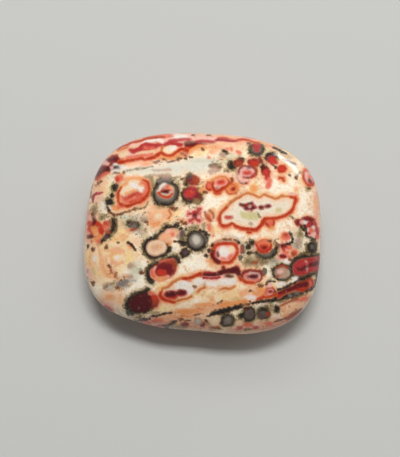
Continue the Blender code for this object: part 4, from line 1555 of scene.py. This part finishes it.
def addHiddenMarkings(fields, places, normals, facing):
    # orbs, clouds and spots as ovals in the surface's own plane, and bands from point to point over it
    h = hiddenMarkings
    chance = np.random.default_rng(h["seed"])
    hidden = np.flatnonzero(facing < h["edgeFacing"] + h["overlap"])
    fade = fieldRules["fadeRate"] * np.maximum(0, facing - h["edgeFacing"])

    def along(index):
        # the bands' direction as it runs over the surface at a mesh point
        tilt = np.array(h["direction"]) - (normals[index] @ h["direction"]) * normals[index]
        return tilt / max(np.linalg.norm(tilt), tiny)

    def addOvals(rule, recipes):
        # ovals at random that keep their gap, each as its recipe's nested rings
        centres, sizes = np.empty((0, 3)), np.empty(0)
        for _ in range(rule["tries"]):
            index = chance.choice(hidden)
            size = chance.uniform(*rule["size"])
            stretch = chance.uniform(*rule["stretch"])
            turn = chance.uniform(*h["turn"])
            centre = places[index]
            apart = np.linalg.norm(centres - centre, axis=1) - sizes
            if len(apart) and apart.min() < size * stretch + rule["gap"]:
                continue
            centres, sizes = np.vstack((centres, centre)), np.append(sizes, size * stretch)
            tangent = along(index)
            frameHere = np.column_stack((tangent, np.cross(normals[index], tangent), normals[index]))
            recipe = recipes[len(sizes) % len(recipes)]
            reach = h["reach"] * size * stretch + fieldRules["high"]
            near = np.flatnonzero(np.linalg.norm(places - centre, axis=1) < reach)
            local = (places[near] - centre) @ frameHere
            for name, share in recipe:
                halves = np.array((size * stretch, size, h["depth"] * size)) * share
                distance = ovalDistance(local, np.zeros(3), halves, turn) + fade[near]
                fields[name][near] = np.minimum(fields[name][near], distance)
        return len(sizes)

    orbCount = addOvals(h["orbs"], h["orbRecipes"])
    addOvals(h["clouds"], [((name, 1.0),) for name in h["cloudPaints"]])
    addOvals(h["spots"], [((name, 1.0),) for name in h["spotPaints"]])
    for number in range(h["bands"]["count"]):
        index = chance.choice(hidden)
        width = chance.uniform(*h["bands"]["width"])
        spots = [places[index]]
        for _ in range(chance.integers(*h["bands"]["steps"])):
            stray = chance.normal(size=3) * h["bands"]["stray"]
            ahead = spots[-1] + along(index) * h["bands"]["step"] + stray
            index = hidden[np.argmin(((places[hidden] - ahead) ** 2).sum(1))]
            spots.append(places[index])
        for name, share in h["bandRecipes"][number % len(h["bandRecipes"])]:
            distance = trailDistance(places, np.array(spots), np.full(len(spots), width * share)) + fade
            fields[name][:] = np.minimum(fields[name], distance)
    return orbCount


def makeFields(points):
    # one attribute a paint on the mesh: the clipped distance, as its share of the ramp's span
    rules = fieldRules
    normals = np.empty(len(points) * 3)
    stone.data.vertices.foreach_get("normal", normals)
    towardCamera = cameraPlace - points
    towardCamera /= np.linalg.norm(towardCamera, axis=1, keepdims=True)
    normals = normals.reshape(-1, 3)
    facing = (normals * towardCamera).sum(1)
    places = wobbled(faceCoordinates(points), points)
    own = [name for name, layer in paints.items() if "of" not in layer]
    fields = {name: np.full(len(points), rules["high"]) for name in own}
    addFaceMarkings(fields, places, facing)
    orbCount = addHiddenMarkings(fields, wobbled(points, points), normals, facing)
    print("Orbs on the sides and underneath:", orbCount)
    for name, field in fields.items():
        attribute = stone.data.attributes.new(name, "FLOAT", "POINT")
        lowest = paints[name].get("lowest", rules["low"])
        shares = onRamp(np.clip(field, lowest, rules["high"]))
        attribute.data.foreach_set("value", shares.astype(np.float32))
    return fields


fields = makeFields(stonePlaces)
print("Marking fields:", len(fields), "paints")


# The jasper: cream ground, the paint layers over it, and a wet-looking polish

jasper = {
    "ground": (255, 236, 205),
    "mottles": (  # colour, noise size in mm, share where it starts and where it is full, cover
        ((246, 206, 150), 4.2, 0.46, 0.64, 0.75),
        ((246, 196, 158), 3.0, 0.50, 0.68, 0.75),
        ((252, 236, 214), 2.2, 0.52, 0.68, 0.75),
        ((206, 198, 170), 2.7, 0.57, 0.72, 0.60),
        ((236, 166, 118), 1.2, 0.57, 0.72, 0.50),
        ((238, 188, 170), 1.5, 0.58, 0.70, 0.45),
        ((196, 152, 112), 0.6, 0.62, 0.74, 0.25),
    ),
    "flecks": (  # laid over the markings, numbers as for the mottles
        ((96, 40, 26), 0.42, 0.56, 0.78, 0.26),
        ((248, 206, 168), 0.6, 0.58, 0.78, 0.16),
    ),
    "edges": {  # fine and broad noise: size and height in mm
        "crisp": ((0.30, 0.26), (1.4, 0.30)),
        "misty": ((0.55, 0.9), (2.2, 1.0)),
        "pepper": ((0.34, 3.0), (1.1, 1.5)),
    },
    "clumpy": (0.55, 0.42),  # size of the clumps and how far they move a crisp edge
    "grain": (0.16, 0.3, 0.7, 0.84, 1.16),  # size, noise where darkest and lightest, and how much
    "roughness": (1.6, 0.35, 0.65, 0.07, 0.13),  # size, noise where shiniest and dullest, and how much
    "detail": 2.0,  # octaves of the noise
    "mottleDetail": 4.0,
    "seeds": {"fine": 1, "broad": 2, "grain": 3, "roughness": 4, "mottles": 10, "flecks": 30},
    "ior": 1.54,
}


def shade(colour):
    # red, green and blue of 255, by the sRGB curve to linear light
    c = np.array(colour) / 255
    return (*np.where(c <= 0.04045, c / 12.92, ((c + 0.055) / 1.055) ** 2.4), 1)


def rampStops(ramp, stops):
    # the ramp's stops, as position, colour and cover
    while len(ramp.elements) > 1:
        ramp.elements.remove(ramp.elements[-1])
    for number, (position, colour, cover) in enumerate(stops):
        element = ramp.elements[0] if number == 0 else ramp.elements.new(position)
        element.position = position
        element.color = (*shade(colour)[:3], cover)


def makeJasper():
    # ground, then for each layer colour = mix(colour, tint, cover), then grain and polish
    seeds = jasper["seeds"]
    material = bpy.data.materials.new("jasper")
    material.use_nodes = True
    tree = material.node_tree
    tree.nodes.clear()
    link = tree.links.new

    def node(kind, **settings):
        # a new node of the tree, with its settings
        made = tree.nodes.new(kind)
        for name, value in settings.items():
            setattr(made, name, value)
        return made

    def fill(sockets, values):
        # a fixed number or colour goes on the socket itself, and anything else is linked to it
        for socket, value in zip(sockets, values):
            if isinstance(value, tuple):
                socket.default_value = shade(value)
            elif isinstance(value, (int, float)):
                socket.default_value = value
            else:
                link(value, socket)

    place = node("ShaderNodeTexCoord").outputs["Object"]

    def noise(size, detail, seed):
        # cloudy noise of that size in mm through the stone, 0 to 1 and mostly near 0.5
        made = node("ShaderNodeTexNoise", noise_dimensions="4D")
        made.inputs["Scale"].default_value = mm / size
        made.inputs["Detail"].default_value = detail
        made.inputs["W"].default_value = seed
        link(place, made.inputs["Vector"])
        return made.outputs["Fac"]

    def maths(operation, *values):
        # one sum on numbers or sockets
        made = node("ShaderNodeMath", operation=operation)
        fill(made.inputs, values)
        return made.outputs[0]

    def centred(value, height):
        # (value - 0.5) * height
        return maths("MULTIPLY", maths("SUBTRACT", value, 0.5), height)

    unevenness = {}
    for kind, ((fine, fineHeight), (broad, broadHeight)) in jasper["edges"].items():
        fineNoise = centred(noise(fine, jasper["detail"], seeds["fine"]), fineHeight)
        broadNoise = centred(noise(broad, jasper["detail"], seeds["broad"]), broadHeight)
        unevenness[kind] = maths("ADD", fineNoise, broadNoise)
    clumpSize, clumpHeight = jasper["clumpy"]
    clumps = node("ShaderNodeTexVoronoi")
    clumps.inputs["Scale"].default_value = mm / clumpSize
    link(place, clumps.inputs["Vector"])
    bump = centred(clumps.outputs["Distance"], clumpHeight)
    unevenness["clumpy"] = maths("ADD", bump, unevenness["crisp"])

    def over(colour, tint, cover):
        # the tint laid over the colour, as much as the cover says
        layer = node("ShaderNodeMix", data_type="RGBA")
        fill((layer.inputs[0], *layer.inputs[6:8]), (cover, colour, tint))  # 6 and 7 take the colours
        return layer.outputs[2]

    def noiseRange(size, detail, seed, start, full, least, most):
        # least where the noise is below the start, most where it is past full, evenly between
        amount = node("ShaderNodeMapRange")
        fill(amount.inputs[1:5], (start, full, least, most))
        link(noise(size, detail, seed), amount.inputs[0])
        return amount.outputs[0]

    def tinted(colour, name):
        # the mottles or the flecks over the colour
        for number, (tint, size, start, full, cover) in enumerate(jasper[name]):
            amount = noiseRange(size, jasper["mottleDetail"], seeds[name] + number, start, full, 0, cover)
            colour = over(colour, tint, amount)
        return colour

    colour = tinted(jasper["ground"], "mottles")
    for name, layer in paints.items():
        kind, amount = layer["edge"]
        field = node("ShaderNodeAttribute", attribute_name=layer.get("of", name)).outputs["Fac"]
        share = amount / (fieldRules["high"] - fieldRules["low"])
        ramp = node("ShaderNodeValToRGB")
        stops = [(onRamp(distance), tint, cover) for distance, tint, cover in layer["stops"]]
        rampStops(ramp.color_ramp, stops)
        link(maths("MULTIPLY_ADD", unevenness[kind], share, field), ramp.inputs[0])
        colour = over(colour, ramp.outputs["Color"], ramp.outputs["Alpha"])
    colour = tinted(colour, "flecks")
    grainSize, *grainRange = jasper["grain"]
    grain = node("ShaderNodeVectorMath", operation="SCALE")
    link(colour, grain.inputs[0])
    link(noiseRange(grainSize, jasper["detail"], seeds["grain"], *grainRange), grain.inputs["Scale"])
    surface = node("ShaderNodeBsdfPrincipled")
    polishSize, *polishRange = jasper["roughness"]
    roughness = noiseRange(polishSize, jasper["detail"], seeds["roughness"], *polishRange)
    link(roughness, surface.inputs["Roughness"])
    surface.inputs["IOR"].default_value = jasper["ior"]
    link(grain.outputs[0], surface.inputs["Base Color"])
    link(surface.outputs[0], node("ShaderNodeOutputMaterial").inputs["Surface"])
    stone.data.materials.append(material)


makeJasper()
print("Jasper material ready")


# The studio: pale floor, windows that the polish mirrors, and a lamp overhead

studio = {
    "floorColour": (0.59, 0.59, 0.565),
    "floorRoughness": 0.8,
    "floorHalf": 1.2,  # metres, from the middle to a side
    "skyColour": (1.0, 1.0, 1.0),
    "skyStrength": 0.18,
    "windows": {  # place, size, roll in degrees, glow beside a white floor's 1, if the polish shows it
        "farWindow": ((-0.20, 0.60, 0.59), (0.56, 0.17), -24, 2.2, True),
        "lowWindow": ((0.47, 0.60, 0.12), (0.30, 0.10), -20, 6.0, True),
        "ceilingLamp": ((0.03, 0.26, 0.757), (0.33, 0.13), 0, 28.0, False),
        "ceilingGlow": ((0.20, 0.40, 0.75), (1.1, 0.7), 0, 0.85, False),
    },
}


def makeFloor():
    # one square under the stone
    corners = np.array([(-1, -1, 0), (1, -1, 0), (1, 1, 0), (-1, 1, 0)], float) * studio["floorHalf"]
    mesh = meshFrom("floor", corners, (np.array([[0, 1, 2, 3]]),))
    floor = bpy.data.objects.new("floor", mesh)
    bpy.context.scene.collection.objects.link(floor)
    material = bpy.data.materials.new("paleFloor")
    material.use_nodes = True
    shader = material.node_tree.nodes["Principled BSDF"]
    shader.inputs["Base Color"].default_value = (*studio["floorColour"], 1)
    shader.inputs["Roughness"].default_value = studio["floorRoughness"]
    mesh.materials.append(material)


def makeLights():
    # area lamps that face the stone, each of glow * pi * its area in watts, and an even sky
    for name, (at, (wide, high), roll, glow, mirrored) in studio["windows"].items():
        light = bpy.data.lights.new(name, "AREA")
        light.shape = "RECTANGLE"
        light.size, light.size_y = wide, high
        light.energy = glow * math.pi * wide * high
        lamp = bpy.data.objects.new(name, light)
        lamp.location = at
        facing = (-Vector(at)).to_track_quat("-Z", "Y")
        lamp.rotation_euler = (facing @ Quaternion((0, 0, 1), math.radians(roll))).to_euler()
        lamp.visible_glossy = mirrored
        bpy.context.scene.collection.objects.link(lamp)
    world = bpy.data.worlds.new("softSky")
    world.use_nodes = True
    sky = world.node_tree.nodes["Background"]
    sky.inputs["Color"].default_value = (*studio["skyColour"], 1)
    sky.inputs["Strength"].default_value = studio["skyStrength"]
    bpy.context.scene.world = world


def makeCamera():
    # at the view's distance and angle, looking straight along it
    data = bpy.data.cameras.new("photoCamera")
    data.lens = photoView["lens"]
    data.sensor_width = photoView["sensor"]
    camera = bpy.data.objects.new("photoCamera", data)
    camera.location = Vector(cameraPlace / mm)
    camera.rotation_euler = Vector(-toCamera).to_track_quat("-Z", "Y").to_euler()
    bpy.context.scene.collection.objects.link(camera)
    bpy.context.scene.camera = camera


makeFloor()
makeLights()
makeCamera()
bpy.context.scene.view_settings.view_transform = "Standard"
print("Studio ready")
